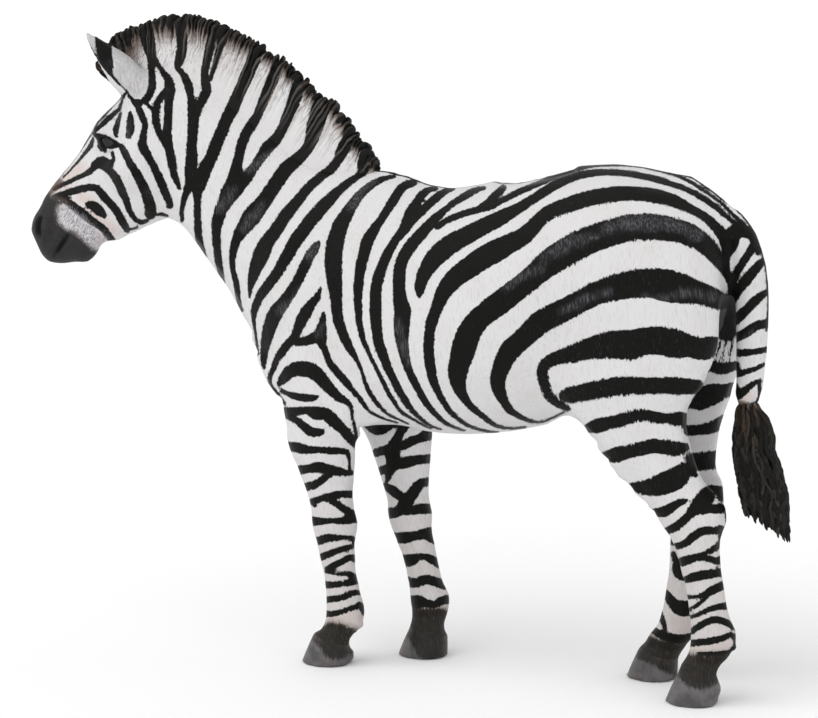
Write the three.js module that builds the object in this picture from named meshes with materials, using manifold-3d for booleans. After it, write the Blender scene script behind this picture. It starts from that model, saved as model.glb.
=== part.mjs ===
// A standing plains zebra, cast in solid plastic at about one nineteenth of life size.
// Millimetres. +X runs from the nose to the tail, +Y to the animal's right side and +Z up from the floor.
// The body is one smooth implicit shape, polygonised and parted into named sub-parts by thin cuts.
import * as THREE from "three";
import Module from "manifold-3d";
import { mergeVertices } from "three/addons/utils/BufferGeometryUtils.js";

const wasm = await Module();
wasm.setup();

// ---------------------------------------------------------------- driving dimensions

const CUT = 0.3; // width of the thin cuts between sub-parts
const WELD = 0.01; // points of one sub-part closer than this are one point
const CLEARANCE = 0.45; // how far a mane, ear or tail stands off the body it grows from
const LEFT = -1; // side factors: the left side has negative y
const RIGHT = 1;

// Body tube, chest to rump: [x, z, half depth, half width, egg]. An egg above 0 narrows the top.
const TRUNK = [
  [-15, 49.5, 12, 6.8, 0.1],
  [-8, 51.7, 16.6, 9.2, 0.28],
  [0, 51.0, 17.0, 11.0, 0.28],
  [9, 50.6, 17.1, 12.4, 0.14],
  [18, 52.7, 17.0, 12.8, 0.04],
  [26, 56.2, 15.6, 12.1, 0.0],
  [33, 58.8, 13.1, 10.6, 0.0],
  [38, 59.4, 10.7, 8.0, 0.0],
];
const NECK = [
  [-37.4, 75.6, 8.8, 4.6, 0.1],
  [-33.0, 71.8, 9.8, 5.0, 0.2],
  [-27.2, 67.2, 10.5, 5.3, 0.26],
  [-20.9, 61.4, 11.8, 6.0, 0.28],
  [-14.5, 56.6, 14.6, 7.2, 0.24],
  [-8, 53.5, 16, 8.4, 0.24],
];
const POLL_X = -38.5; // origin of the head's own axis
const POLL_Z = 77;
const HEAD_TILT = THREE.MathUtils.degToRad(42); // slope of that axis below the horizon
// Stations along the head: [distance from the poll, offset to the forehead side, half depth, half width, egg]
const HEAD = [
  [2.5, -1.6, 7.5, 4.4, 0],
  [7.0, -1.9, 8.0, 4.9, 0.05],
  [11, -2.1, 7.4, 4.5, 0.1],
  [15, -1.9, 6.6, 3.7, 0.16],
  [18.7, -1.6, 6.0, 3.2, 0.14],
  [22.4, -1.8, 5.5, 3.2, 0],
  [24.6, -1.8, 4.8, 3.4, 0],
];
const TAIL_ROOT = [
  [38.5, 67.2, 3.2, 3.6, 0],
  [44.9, 64.2, 2.5, 2.6, 0],
];
const TAIL_DOCK = [
  [44.2, 65.2, 2.5, 2.5, 0],
  [47.2, 61.6, 2.4, 2.4, 0],
  [48.7, 56.5, 2.3, 2.3, 0],
  [48.95, 50, 2.25, 2.2, 0],
  [48.8, 43.2, 1.9, 1.9, 0],
];
const TAIL_TUFT = [
  [48.8, 40.8, 1.7, 1.7, 0],
  [49.4, 37.2, 2.5, 2.3, 0],
  [50.3, 32.5, 3.2, 2.7, 0],
  [51.2, 28.0, 3.1, 2.4, 0],
  [52.8, 24.8, 1.9, 1.4, 0],
  [54.1, 22.9, 0.8, 0.7, 0],
];
const TUFT_CUT_Z = 42; // where the tail's dock ends and its tuft starts

// Muscles and bony points on both sides: [x, side, z, radius x, radius y, radius z, tilt in degrees, blend]
const MASSES = {
  shoulder: [-11.5, 5.6, 52.5, 6.6, 3.8, 12.5, 24, 3],
  breast: [-15.8, 3.5, 43.6, 4.6, 4.0, 5.6, 10, 3],
  elbow: [-8, 6.0, 39.5, 5.2, 3.4, 7.0, 10, 3],
  haunch: [33.8, 5.6, 58.0, 11.0, 5.4, 10.3, 0, 4],
  thigh: [36.6, 6.3, 49.5, 9.2, 4.9, 12.5, -8, 4],
  stifle: [29.2, 6.9, 44.0, 4.8, 3.8, 6.4, -32, 3],
};
// Bumps of the head, in its own axis: [distance, offset, side, radius, blend]
const HEAD_MASSES = {
  poll: [-1.2, 2.4, 0, 3.7, 2.5],
  cheek: [6.6, -4.4, 2.3, 4.6, 1.5],
  jowl: [5.3, -8.5, 0.9, 4.0, 1.6],
  jaw: [8.6, -7.9, 0.8, 3.85, 1.2],
  bar: [12.4, -7.1, 0.4, 3.3, 1.2],
  bars_end: [16.4, -6.3, 0.3, 2.5, 1.2],
  brow: [6.8, 2.6, 2.5, 2.6, 1.2],
  nostril: [24.6, -0.6, 1.8, 2.5, 1.0],
  lip: [26.0, -3.2, 1.0, 2.3, 0.8],
  chin: [22.9, -5.9, 0.4, 2.0, 0.8],
};
const HEAD_CUT = [[-38.6, 84.5], [-35.4, 62.4]]; // the thin cuts, as two points on each plane
const NECK_CUT = [[-6.4, 69.6], [-21.6, 43.6]];
const HIND_CUT = [[23.0, 37.4], [45.6, 45.4]];
const MUZZLE_CUT = 19; // distance from the poll
const FORE_CUT_Z = 33.2;
const KNEE_CUT_Z = 17.6;
const HOCK_CUT_Z = 20.4;

// Legs: joint centres from top to bottom. The first joint lies inside the body.
const FORE_JOINTS = {
  [LEFT]: [[-10.8, -5.4, 43], [-11.2, -5.3, 33.5], [-9.3, -4.9, 20.4], [-7.9, -4.6, 7.6], [-9.4, -4.5, 3.6]],
  [RIGHT]: [[-7.4, 5.4, 43], [-3.9, 5.3, 33.5], [-1.8, 4.9, 20.4], [1.4, 4.6, 8.0], [0.9, 4.5, 3.8]],
};
const HIND_JOINTS = {
  [LEFT]: [[33, -6.4, 50], [32.8, -6.4, 41], [42.8, -5.6, 25.0], [45.8, -5.2, 9.2], [43.9, -5.2, 4.0]],
  [RIGHT]: [[34, 6.4, 50], [35.9, 6.4, 41], [39.7, 5.6, 25.4], [38.7, 5.2, 9.2], [35.6, 5.2, 4.0]],
};
// Girths along the legs: [bone, share of the bone, shift towards the tail, half depth, half width]
const FORE_GIRTHS = [
  [0, 0.0, 0, 6.2, 3.8],
  [1, 0.0, 0, 5.2, 3.6],
  [1, 0.35, 0.1, 4.3, 3.2],
  [1, 0.8, 0, 3.1, 2.7],
  [2, 0.0, 0, 3.4, 2.85],
  [2, 0.25, -0.1, 2.8, 2.35],
  [2, 0.6, 0, 2.5, 2.05],
  [2, 0.85, 0, 2.6, 2.2],
  [3, 0.0, 0.0, 3.0, 2.55],
  [3, 0.55, 0.2, 2.4, 2.3],
  [3, 1.0, 0.0, 2.6, 2.6],
];
const HIND_GIRTHS = [
  [0, 0.0, 2, 10.2, 4.6],
  [1, 0.0, 1.2, 8.0, 4.5],
  [1, 0.4, 0.2, 5.7, 3.7],
  [1, 0.75, 0, 4.1, 2.9],
  [2, 0.0, 0, 4.2, 2.8],
  [2, 0.22, 0.1, 3.1, 2.35],
  [2, 0.6, 0, 2.65, 2.1],
  [2, 0.85, 0, 2.75, 2.25],
  [3, 0.0, 0.0, 3.15, 2.6],
  [3, 0.55, 0.2, 2.5, 2.35],
  [3, 1.0, 0.0, 2.7, 2.65],
];
const HOCK_POINT = [2.4, 1.0, 2.1]; // the heel bone: distance behind the hock, height over it, radius
const LIMB_BLEND = 2.2; // how softly a leg grows out of the body

// Hooves: [sole centre x, sole half length], and the shape they share
const HOOVES = {
  fore_left: [-10.7, -4.5, 3.9],
  fore_right: [0.45, 4.5, 3.9],
  hind_left: [43.1, -5.2, 3.9],
  hind_right: [34.5, 5.2, 3.85],
};
const HOOF_HALF_WIDTH = 3.3;
const CORONET_FRONT_Z = 4.4; // the hoof's top edge falls from the toe to the heel
const CORONET_REAR_Z = 3.0;
const CORONET_BEHIND = 0.95; // the top edge lies this far behind the middle of the sole
const CORONET_HALF = [2.85, 2.8]; // half length and half width of the top edge
const HOOF_SIDES = 16;

// Mane: its free edge, from the forelock to the withers, and its thickness
const MANE_EDGE = [
  [-48.3, 84.2], [-46.4, 87.2], [-44.8, 88.9], [-41.0, 90.2], [-37.9, 91.0], [-35.4, 91.5], [-32.7, 91.2],
  [-30.0, 90.7], [-27.2, 89.8], [-24.8, 88.6], [-21.4, 87.1], [-18.6, 85.4], [-16.6, 83.7], [-14.0, 81.7], [-11.6, 79.9],
  [-9.0, 77.5], [-7.1, 74.9], [-5.3, 72.9], [-4.4, 70.9],
];
const MANE_ROOT = [
  [-46.2, 81.8], [-44.4, 80.4], [-42.4, 79.4], [-39.8, 80.0], [-37.6, 79.8], [-35.0, 79.6], [-32.9, 79.0],
  [-30.9, 78.0],
  [-28.8, 76.6], [-26.6, 74.8], [-24.4, 73.6], [-22.2, 72.6], [-19.8, 71.4], [-17.6, 69.6], [-15.0, 68.4],
  [-12.2, 67.6], [-9.6, 67.0], [-7.4, 67.0], [-5.4, 67.4],
];
const MANE_ROOT_HALF = 1.75;
const MANE_EDGE_HALF = 0.75;
const MANE_ROWS = 3;

// Ears: a cupped leaf from its root to its tip, its back turned up and outwards
const EAR_ROOT = [-40.0, 3.7, 81.4];
const EAR_TIPS = { [LEFT]: [-48.0, 4.8, 88.8], [RIGHT]: [-48.3, 3.8, 86.9] };
const EAR_BACK = [0.35, 0.85, 0.35]; // the way the ear's back faces
const EAR_HALF_WIDTH = 2.7;
const EAR_DEPTH = 2.0; // how far the rims curl away from the back
const EAR_THICK = 0.9;
const EAR_OUTLINE = [[-0.08, 0.8], [0.12, 1.0], [0.3, 0.95], [0.5, 0.75], [0.7, 0.52], [0.86, 0.3], [1, 0.06]];

// Eyes: a ball in a socket on each side, in the head's own axis
const EYE = { along: 7.1, rise: 1.2, side: 3.85, radius: 1.5 };
const SOCKET = 0.25; // play around the eyeball

// ---------------------------------------------------------------- fields

function smoothUnion(a, b, r) {
  const h = Math.max(r - Math.abs(a - b), 0) / r;
  return Math.min(a, b) - (h * h * r) / 4;
}

// Rows of equal length, read along a smooth curve and sampled evenly.
function smoothRows(rows, steps) {
  const cubic = (column, i, t) => {
    const v = (k) => rows[Math.min(Math.max(k, 0), rows.length - 1)][column];
    const m1 = (v(i + 1) - v(i - 1)) / 2;
    const m2 = (v(i + 2) - v(i)) / 2;
    const t2 = t * t;
    const t3 = t2 * t;
    return (2 * t3 - 3 * t2 + 1) * v(i) + (t3 - 2 * t2 + t) * m1 + (3 * t2 - 2 * t3) * v(i + 1) + (t3 - t2) * m2;
  };
  const out = [];
  for (let i = 0; i < rows.length - 1; i += 1) {
    for (let k = 0; k < steps; k += 1) {
      out.push(rows[i].map((_, column) => cubic(column, i, k / steps)));
    }
  }
  out.push(rows[rows.length - 1]);
  return out;
}

// An elliptical tube along a smooth spine. Rows: [x, y, z, half depth, half width, egg].
function tube(rows) {
  const samples = smoothRows(rows, 6);
  return (x, y, z) => {
    let best = Infinity;
    let found = 0;
    let share = 0;
    for (let i = 0; i < samples.length - 1; i += 1) {
      const a = samples[i];
      const b = samples[i + 1];
      const dx = b[0] - a[0];
      const dy = b[1] - a[1];
      const dz = b[2] - a[2];
      const dot = (x - a[0]) * dx + (y - a[1]) * dy + (z - a[2]) * dz;
      const t = Math.min(Math.max(dot / (dx * dx + dy * dy + dz * dz), 0), 1);
      const d = (x - a[0] - t * dx) ** 2 + (y - a[1] - t * dy) ** 2 + (z - a[2] - t * dz) ** 2;
      if (d < best) {
        best = d;
        found = i;
        share = t;
      }
    }
    const a = samples[found];
    const b = samples[found + 1];
    const at = a.map((v, k) => v + (b[k] - v) * share);
    const run = new THREE.Vector3(b[0] - a[0], b[1] - a[1], b[2] - a[2]).normalize();
    const q = new THREE.Vector3(x - at[0], y - at[1], z - at[2]);
    const along = q.dot(run);
    const side = new THREE.Vector3(0, 1, 0).addScaledVector(run, -run.y).normalize();
    const rise = q.dot(new THREE.Vector3().crossVectors(run, side));
    const narrowing = 1 - at[5] * Math.min(Math.max(rise / at[3], -1), 1);
    const reach = Math.hypot(q.dot(side) / (at[4] * narrowing), rise / at[3], along / Math.min(at[3], at[4]));
    return reach < 1e-6 ? -Math.min(at[3], at[4]) : (q.length() * (reach - 1)) / reach;
  };
}

// An ellipsoid, tilted about the y axis.
function mass([cx, side, cz, rx, ry, rz, tilt], hand) {
  const c = Math.cos(THREE.MathUtils.degToRad(tilt));
  const s = Math.sin(THREE.MathUtils.degToRad(tilt));
  return (x, y, z) => {
    const u = (x - cx) * c + (z - cz) * s;
    const w = (z - cz) * c - (x - cx) * s;
    const v = y - side * hand;
    const reach = Math.hypot(u / rx, v / ry, w / rz);
    return reach < 1e-6 ? -Math.min(rx, ry, rz) : (Math.hypot(u, v, w) * (reach - 1)) / reach;
  };
}

const ball = (c, r) => (x, y, z) => Math.hypot(x - c[0], y - c[1], z - c[2]) - r;

function legRows(joints, girths) {
  return girths.map(([bone, share, shift, depth, width]) => {
    const a = joints[bone];
    const at = a.map((v, k) => v + (joints[bone + 1][k] - v) * share);
    return [at[0] + shift, at[1], at[2], depth, width, 0];
  });
}

// A point of the head, from the distance along its axis, the offset to the forehead side and the side.
function headPoint(along, rise, side) {
  return [
    POLL_X - along * Math.cos(HEAD_TILT) - rise * Math.sin(HEAD_TILT),
    side,
    POLL_Z - along * Math.sin(HEAD_TILT) + rise * Math.cos(HEAD_TILT),
  ];
}

// The egg's sense follows the way a spine runs, so the head's, which runs forwards, is turned round.
const upright = (rows, egg) => rows.map(([x, z, depth, width, narrow]) => [x, 0, z, depth, width, egg * narrow]);
const headRows = HEAD.map(([along, rise, depth, width, egg]) => [...headPoint(along, rise, 0), depth, width, egg]);

const trunk = tube(upright(TRUNK, 1));
const neck = tube(upright(NECK, 1));
const head = tube(headRows.map((row) => [...row.slice(0, 5), -row[5]]));
const root = tube(upright(TAIL_ROOT, 1));
const dock = tube(upright(TAIL_DOCK, 1));
const tuft = tube(upright(TAIL_TUFT, 1));
const extras = [];
for (const hand of [LEFT, RIGHT]) {
  for (const row of Object.values(MASSES)) {
    extras.push([mass(row, hand), row[7]]);
  }
  for (const [along, rise, side, radius, blend] of Object.values(HEAD_MASSES)) {
    extras.push([ball(headPoint(along, rise, side * hand), radius), blend]);
  }
  const hock = HIND_JOINTS[hand][2];
  const [behind, above, radius] = HOCK_POINT;
  extras.push([ball([hock[0] + behind, hock[1], hock[2] + above], radius), 1.6]);
  extras.push([tube(legRows(FORE_JOINTS[hand], FORE_GIRTHS)), LIMB_BLEND]);
  extras.push([tube(legRows(HIND_JOINTS[hand], HIND_GIRTHS)), LIMB_BLEND]);
}

function body(x, y, z) {
  let d = smoothUnion(trunk(x, y, z), neck(x, y, z), 5);
  d = smoothUnion(d, head(x, y, z), 1.4);
  for (const [field, blend] of extras) {
    d = smoothUnion(d, field(x, y, z), blend);
  }
  return smoothUnion(d, root(x, y, z), 2);
}

const grown = (x, y, z) => body(x, y, z) - CLEARANCE;
const tail = (x, y, z) => smoothUnion(dock(x, y, z), tuft(x, y, z), 1);

// ---------------------------------------------------------------- solids

function solid(vertProperties, triVerts) {
  const mesh = new wasm.Mesh({ numProp: 3, vertProperties, triVerts });
  mesh.merge();
  return new wasm.Manifold(mesh);
}

function solidOf(geometry) {
  const bare = geometry.clone();
  bare.deleteAttribute("normal");
  bare.deleteAttribute("uv");
  const merged = mergeVertices(bare, 1e-4);
  return solid(new Float32Array(merged.attributes.position.array), new Uint32Array(merged.index.array));
}

// A solid's mesh, with the slivers that a cut leaves welded away.
function geometryOf(made) {
  const mesh = made.getMesh();
  const raw = new THREE.BufferGeometry();
  raw.setAttribute("position", new THREE.BufferAttribute(new Float32Array(mesh.vertProperties), 3));
  raw.setIndex(new THREE.BufferAttribute(new Uint32Array(mesh.triVerts), 1));
  const geometry = mergeVertices(raw, WELD);
  const faces = [];
  for (let f = 0; f < geometry.index.count; f += 3) {
    const corners = Array.from(geometry.index.array.slice(f, f + 3));
    if (new Set(corners).size === 3) {
      faces.push(...corners);
    }
  }
  geometry.setIndex(faces);
  geometry.computeVertexNormals();
  return geometry;
}

function largest(made) {
  return made.decompose().reduce((a, b) => (b.volume() > a.volume() ? b : a));
}

// The field's surface inside a box. A grid that leaves an edge with more than two faces is made a little finer.
function polygonise(field, low, high, cell) {
  for (let size = cell; size > cell / 2; size *= 0.97) {
    try {
      return nets(field, low, high, size);
    } catch (fault) {
      if (fault.code !== "NotManifold") {
        throw fault;
      }
    }
  }
  throw new Error("no closed surface");
}

// Surface nets, each vertex then drawn onto the surface. The grid is symmetric about y = 0 when the box is.
function nets(field, low, high, cell) {
  const count = low.map((v, k) => Math.ceil((high[k] - v) / cell) + 3);
  const start = low.map((v, k) => (v + high[k]) / 2 - ((count[k] - 1) * cell) / 2);
  const at = (i, k) => start[k] + i * cell;
  const index = (i, j, k) => (k * count[1] + j) * count[0] + i;
  const value = new Float64Array(count[0] * count[1] * count[2]);
  for (let k = 0; k < count[2]; k += 1) {
    for (let j = 0; j < count[1]; j += 1) {
      for (let i = 0; i < count[0]; i += 1) {
        const rim = [i, j, k].some((v, m) => v === 0 || v === count[m] - 1);
        value[index(i, j, k)] = rim ? cell / 2 : field(at(i, 0), at(j, 1), at(k, 2));
      }
    }
  }
  const corners = [0, 1, 2, 3, 4, 5, 6, 7].map((c) => [c & 1, (c >> 1) & 1, (c >> 2) & 1]);
  const edges = [];
  for (let a = 0; a < 8; a += 1) {
    edges.push(...[1, 2, 4].filter((bit) => !(a & bit)).map((bit) => [a, a | bit]));
  }
  const slot = new Int32Array(value.length).fill(-1);
  const points = [];
  for (let k = 0; k < count[2] - 1; k += 1) {
    for (let j = 0; j < count[1] - 1; j += 1) {
      for (let i = 0; i < count[0] - 1; i += 1) {
        const v = corners.map(([a, b, c]) => value[index(i + a, j + b, k + c)]);
        const crossed = edges.filter(([a, b]) => v[a] < 0 !== v[b] < 0);
        if (crossed.length) {
          const sum = [i, j, k];
          for (const [a, b] of crossed) {
            const t = v[a] / (v[a] - v[b]);
            corners[a].forEach((from, m) => {
              sum[m] += (from + t * (corners[b][m] - from)) / crossed.length;
            });
          }
          slot[index(i, j, k)] = points.length;
          points.push(sum.map((s, m) => at(s, m)));
        }
      }
    }
  }
  points.forEach((p) => settle(p, field, low, high, cell));
  const faces = [];
  const gap = (a, b) => Math.hypot(...points[a].map((v, m) => v - points[b][m]));
  const quad = (ring, outwards) => {
    const [a, b, c, d] = outwards ? ring : [...ring].reverse();
    faces.push(...(gap(a, c) < gap(b, d) ? [a, b, c, a, c, d] : [b, c, d, b, d, a]));
  };
  for (let k = 0; k < count[2] - 1; k += 1) {
    for (let j = 0; j < count[1] - 1; j += 1) {
      for (let i = 0; i < count[0] - 1; i += 1) {
        const here = value[index(i, j, k)] < 0;
        const s = (a, b, c) => slot[index(i + a, j + b, k + c)];
        if (here !== value[index(i + 1, j, k)] < 0) {
          quad([s(0, 0, 0), s(0, -1, 0), s(0, -1, -1), s(0, 0, -1)], here);
        }
        if (here !== value[index(i, j + 1, k)] < 0) {
          quad([s(0, 0, 0), s(0, 0, -1), s(-1, 0, -1), s(-1, 0, 0)], here);
        }
        if (here !== value[index(i, j, k + 1)] < 0) {
          quad([s(0, 0, 0), s(-1, 0, 0), s(-1, -1, 0), s(0, -1, 0)], here);
        }
      }
    }
  }
  return solid(new Float32Array(points.flat()), new Uint32Array(faces));
}

// Moves a grid vertex down the field's slope until it lies on the surface.
function settle(p, field, low, high, cell) {
  const step = 0.02;
  for (let round = 0; round < 3; round += 1) {
    if (p.some((v, m) => v < low[m] || v > high[m])) {
      return;
    }
    const d = field(...p);
    const slope = [0, 1, 2].map((m) => (field(...p.map((v, n) => (n === m ? v + step : v))) - d) / step);
    const size = Math.max(slope[0] ** 2 + slope[1] ** 2 + slope[2] ** 2, 0.2);
    slope.forEach((g, m) => {
      p[m] -= Math.max(Math.min((d * g) / size, cell * 0.4), -cell * 0.4);
    });
  }
}

const REACH = 160; // larger than the whole animal

// The side of a plane that its normal points to; the plane holds (x, z) and runs along y.
function halfSpace(x, z, nx, nz) {
  const size = Math.hypot(nx, nz);
  const box = new THREE.BoxGeometry(REACH * 2, REACH * 2, REACH);
  box.translate(0, 0, REACH / 2);
  box.rotateY(Math.atan2(nx, nz));
  box.translate(x + (nx / size) * CUT * 0.5, 0, z + (nz / size) * CUT * 0.5);
  return solidOf(box);
}

// All that lies farther out than y on one hand's side.
function outside(hand, y) {
  const box = new THREE.BoxGeometry(REACH * 2, REACH, REACH * 2);
  box.translate(0, hand * (y + REACH / 2), 0);
  return solidOf(box);
}

// The two sides of a cut through two points. The first lies towards (nx, nz).
function sidesOf([[x1, z1], [x2, z2]], nx, nz) {
  const run = [x2 - x1, z2 - z1];
  const normal = [-run[1], run[0]];
  const sign = Math.sign(normal[0] * nx + normal[1] * nz);
  return [1, -1].map((k) => halfSpace(x1, z1, k * sign * normal[0], k * sign * normal[1]));
}

// Rings of points, from one end to the other, closed with a fan at each end.
function loft(rings) {
  const n = rings[0].length;
  const points = rings.flat();
  const faces = [];
  for (let r = 0; r < rings.length - 1; r += 1) {
    for (let k = 0; k < n; k += 1) {
      const a = r * n + k;
      const b = r * n + ((k + 1) % n);
      faces.push(a, b, b + n, a, b + n, a + n);
    }
  }
  [rings[0], rings[rings.length - 1]].forEach((ring, end) => {
    const middle = [0, 1, 2].map((m) => ring.reduce((sum, p) => sum + p[m], 0) / n);
    const base = end * (rings.length - 1) * n;
    for (let k = 0; k < n; k += 1) {
      const pair = [base + k, base + ((k + 1) % n)];
      faces.push(...(end ? pair : pair.reverse()), points.length);
    }
    points.push(middle);
  });
  const made = solid(new Float32Array(points.flat()), new Uint32Array(faces));
  return made.volume() < 0 ? solid(new Float32Array(points.flat()), new Uint32Array(faces).reverse()) : made;
}

// ---------------------------------------------------------------- sub-parts

const zebra = new THREE.Group();

function add(name, made, colour, roughness = 0.6) {
  const material = new THREE.MeshStandardMaterial({ color: colour, roughness, metalness: 0 });
  const mesh = new THREE.Mesh(geometryOf(largest(made)), material);
  mesh.name = name;
  zebra.add(mesh);
}

const WHITE = 0xdedcda;
const BLACK = 0x2b2826;
const GREY = 0x4e4a49;

const [headSide, neckBehindHead] = sidesOf(HEAD_CUT, -1, 0);
const [neckSide, trunkBehindNeck] = sidesOf(NECK_CUT, -1, 0);
const [hindBelow] = sidesOf(HIND_CUT, 0, -1);
const foreBelow = halfSpace(0, FORE_CUT_Z, 0, -1);
const foreAbove = halfSpace(0, FORE_CUT_Z, 0, 1);
const muzzleAt = headPoint(MUZZLE_CUT, 0, 0);
const ahead = [-Math.cos(HEAD_TILT), -Math.sin(HEAD_TILT)];
const muzzleSide = halfSpace(muzzleAt[0], muzzleAt[2], ahead[0], ahead[1]);
const headBehindMuzzle = halfSpace(muzzleAt[0], muzzleAt[2], -ahead[0], -ahead[1]);

// Eyes and the head around them
const eyeBalls = [LEFT, RIGHT].map((hand) => {
  const at = headPoint(EYE.along, EYE.rise, EYE.side * hand);
  const make = (radius) => {
    const geometry = new THREE.IcosahedronGeometry(radius, 2);
    geometry.translate(...at);
    return solidOf(geometry);
  };
  return { hand, eye: make(EYE.radius), socket: make(EYE.radius + SOCKET) };
});
const HEAD_BOX = [[-62, -7.2, 52], [-33, 7.2, 87]];
const HEAD_CELL = 1.75;
let skull = polygonise(body, ...HEAD_BOX, HEAD_CELL);
for (const { socket } of eyeBalls) {
  skull = skull.subtract(socket);
}
add("muzzle", skull.intersect(muzzleSide), GREY);
add("head", skull.intersect(headSide).intersect(headBehindMuzzle), WHITE);
for (const { hand, eye } of eyeBalls) {
  add(hand === LEFT ? "eye_left" : "eye_right", eye, BLACK, 0.15);
}

// Neck and trunk
const NECK_BOX = [[-50, -10, 38], [2, 10, 88]];
const NECK_CELL = 2.8;
add("neck", polygonise(body, ...NECK_BOX, NECK_CELL).intersect(neckBehindHead).intersect(neckSide), WHITE);
const TRUNK_BOX = [[-26, -15, 30], [52, 15, 74]];
const TRUNK_CELL = 3.4;
const torso = polygonise(body, ...TRUNK_BOX, TRUNK_CELL);
const hindRegion = hindBelow.intersect(halfSpace(HIND_CUT[0][0], 0, 1, 0));
add("trunk", torso.intersect(trunkBehindNeck).intersect(foreAbove).subtract(hindRegionGrown()), WHITE);

// The hind legs' region, wider by the cut's own width.
function hindRegionGrown() {
  const [[x1, z1], [x2, z2]] = HIND_CUT;
  const size = Math.hypot(x2 - x1, z2 - z1);
  const up = [(-(z2 - z1) / size) * CUT, ((x2 - x1) / size) * CUT];
  const below = halfSpace(x1 + up[0], z1 + up[1], -up[0], -up[1]);
  return below.intersect(halfSpace(x1 - CUT, 0, 1, 0));
}

// Legs and hooves
const coronetSlope = Math.atan2(CORONET_FRONT_Z - CORONET_REAR_Z, CORONET_HALF[0] * 2);
function hoof([x, y, half]) {
  const ring = (share) => {
    const points = [];
    for (let k = 0; k < HOOF_SIDES; k += 1) {
      const turn = (k / HOOF_SIDES) * Math.PI * 2;
      const c = Math.cos(turn);
      const s = Math.sin(turn);
      const long = half + (CORONET_HALF[0] - half) * share;
      const wide = HOOF_HALF_WIDTH + (CORONET_HALF[1] - HOOF_HALF_WIDTH) * share;
      const heel = c > 0 ? 1 - 0.1 * c * c : 1;
      const top = CORONET_FRONT_Z + ((CORONET_REAR_Z - CORONET_FRONT_Z) * (c + 1)) / 2;
      points.push([x + CORONET_BEHIND * share + c * long * heel, y + s * wide, top * share]);
    }
    return points;
  };
  return loft([ring(0), ring(0.5), ring(1)]);
}

const LEGS = [
  ["fore", LEFT, "left", [-19, -10.5, 0], [-3, -0.2, 36], KNEE_CUT_Z, foreBelow],
  ["fore", RIGHT, "right", [-11, 0.2, 0], [8, 10.5, 36], KNEE_CUT_Z, foreBelow],
  ["hind", LEFT, "left", [22, -12.5, 0], [53, -0.2, 50], HOCK_CUT_Z, hindRegion],
  ["hind", RIGHT, "right", [22, 0.2, 0], [51, 12.5, 50], HOCK_CUT_Z, hindRegion],
];
for (const [pair, hand, side, low, high, jointZ, below] of LEGS) {
  const hoofRow = HOOVES[`${pair}_${side}`];
  const coronetX = hoofRow[0] + CORONET_BEHIND;
  const coronetZ = (CORONET_FRONT_Z + CORONET_REAR_Z) / 2;
  const overHoof = halfSpace(coronetX, coronetZ + CUT / 2, Math.sin(coronetSlope), Math.cos(coronetSlope));
  const fine = polygonise(body, low, [high[0], high[1], jointZ + 3], 1.7);
  const coarse = polygonise(body, [low[0], low[1], jointZ - 3], high, pair === "fore" ? 1.9 : 2.4);
  const own = outside(hand, CUT / 2);
  add(`${pair}leg_${side}`, coarse.intersect(own).intersect(below).intersect(halfSpace(0, jointZ, 0, 1)), WHITE);
  add(`${pair}shank_${side}`, fine.intersect(own).intersect(halfSpace(0, jointZ, 0, -1)).intersect(overHoof), WHITE);
  add(`${pair}hoof_${side}`, hoof(hoofRow), GREY, 0.45);
}

// Tail
const hair = polygonise(tail, [40, -4, 20], [57, 4, 69], 1.7);
const rump = polygonise(grown, [36, -6, 40], [52, 6, 74], 2.0);
add("tail_dock", hair.intersect(halfSpace(0, TUFT_CUT_Z, 0, 1)).subtract(rump), WHITE);
add("tail_tuft", hair.intersect(halfSpace(0, TUFT_CUT_Z, 0, -1)), BLACK);

// Mane: an upright crest along the neck, thinner at its free edge
const crest = polygonise(grown, [-50, -8, 58], [2, 8, 88], 2.3);
const maneRings = MANE_EDGE.map(([x, z], k) => {
  const end = Math.min(k, MANE_EDGE.length - 1 - k);
  const slim = Math.min(1, 0.45 + end * 0.25);
  const side = [];
  for (let r = 0; r <= MANE_ROWS; r += 1) {
    const t = r / MANE_ROWS;
    const half = slim * (MANE_ROOT_HALF + (MANE_EDGE_HALF - MANE_ROOT_HALF) * t ** 1.3);
    const [rootX, rootZ] = MANE_ROOT[k];
    side.push([rootX + (x - rootX) * t, half, rootZ + (z - rootZ) * t]);
  }
  return [...side, ...side.map(([px, py, pz]) => [px, -py, pz]).reverse()];
});
add("mane", loft(maneRings).subtract(crest), BLACK);

// Ears
function ear(hand) {
  const rootAt = new THREE.Vector3(EAR_ROOT[0], EAR_ROOT[1] * hand, EAR_ROOT[2]);
  const tip = EAR_TIPS[hand];
  const run = new THREE.Vector3(tip[0], tip[1] * hand, tip[2]).sub(rootAt);
  const back = new THREE.Vector3(EAR_BACK[0], EAR_BACK[1] * hand, EAR_BACK[2]);
  back.addScaledVector(run, -back.dot(run) / run.lengthSq()).normalize();
  const across = new THREE.Vector3().crossVectors(run, back).normalize();
  const rings = EAR_OUTLINE.map(([t, share]) => {
    const half = EAR_HALF_WIDTH * share;
    const points = [];
    const steps = 5;
    const place = (k, lift) => {
      const turn = (k / steps) * 2 - 1;
      const depth = EAR_DEPTH * share * (turn * turn - 0.4) - lift;
      const p = rootAt.clone().addScaledVector(run, t);
      p.addScaledVector(across, half * turn).addScaledVector(back, -depth);
      return p.toArray();
    };
    for (let k = 0; k <= steps; k += 1) {
      points.push(place(k, 0));
    }
    for (let k = steps; k >= 0; k -= 1) {
      points.push(place(k, -EAR_THICK * Math.sqrt(share)));
    }
    return points;
  });
  return loft(rings);
}
for (const [name, hand] of [["ear_left", LEFT], ["ear_right", RIGHT]]) {
  add(name, ear(hand).intersect(outside(hand, MANE_ROOT_HALF + CUT)).subtract(crest), WHITE);
}

// ---------------------------------------------------------------- frame: the origin is the middle of the underside

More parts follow.
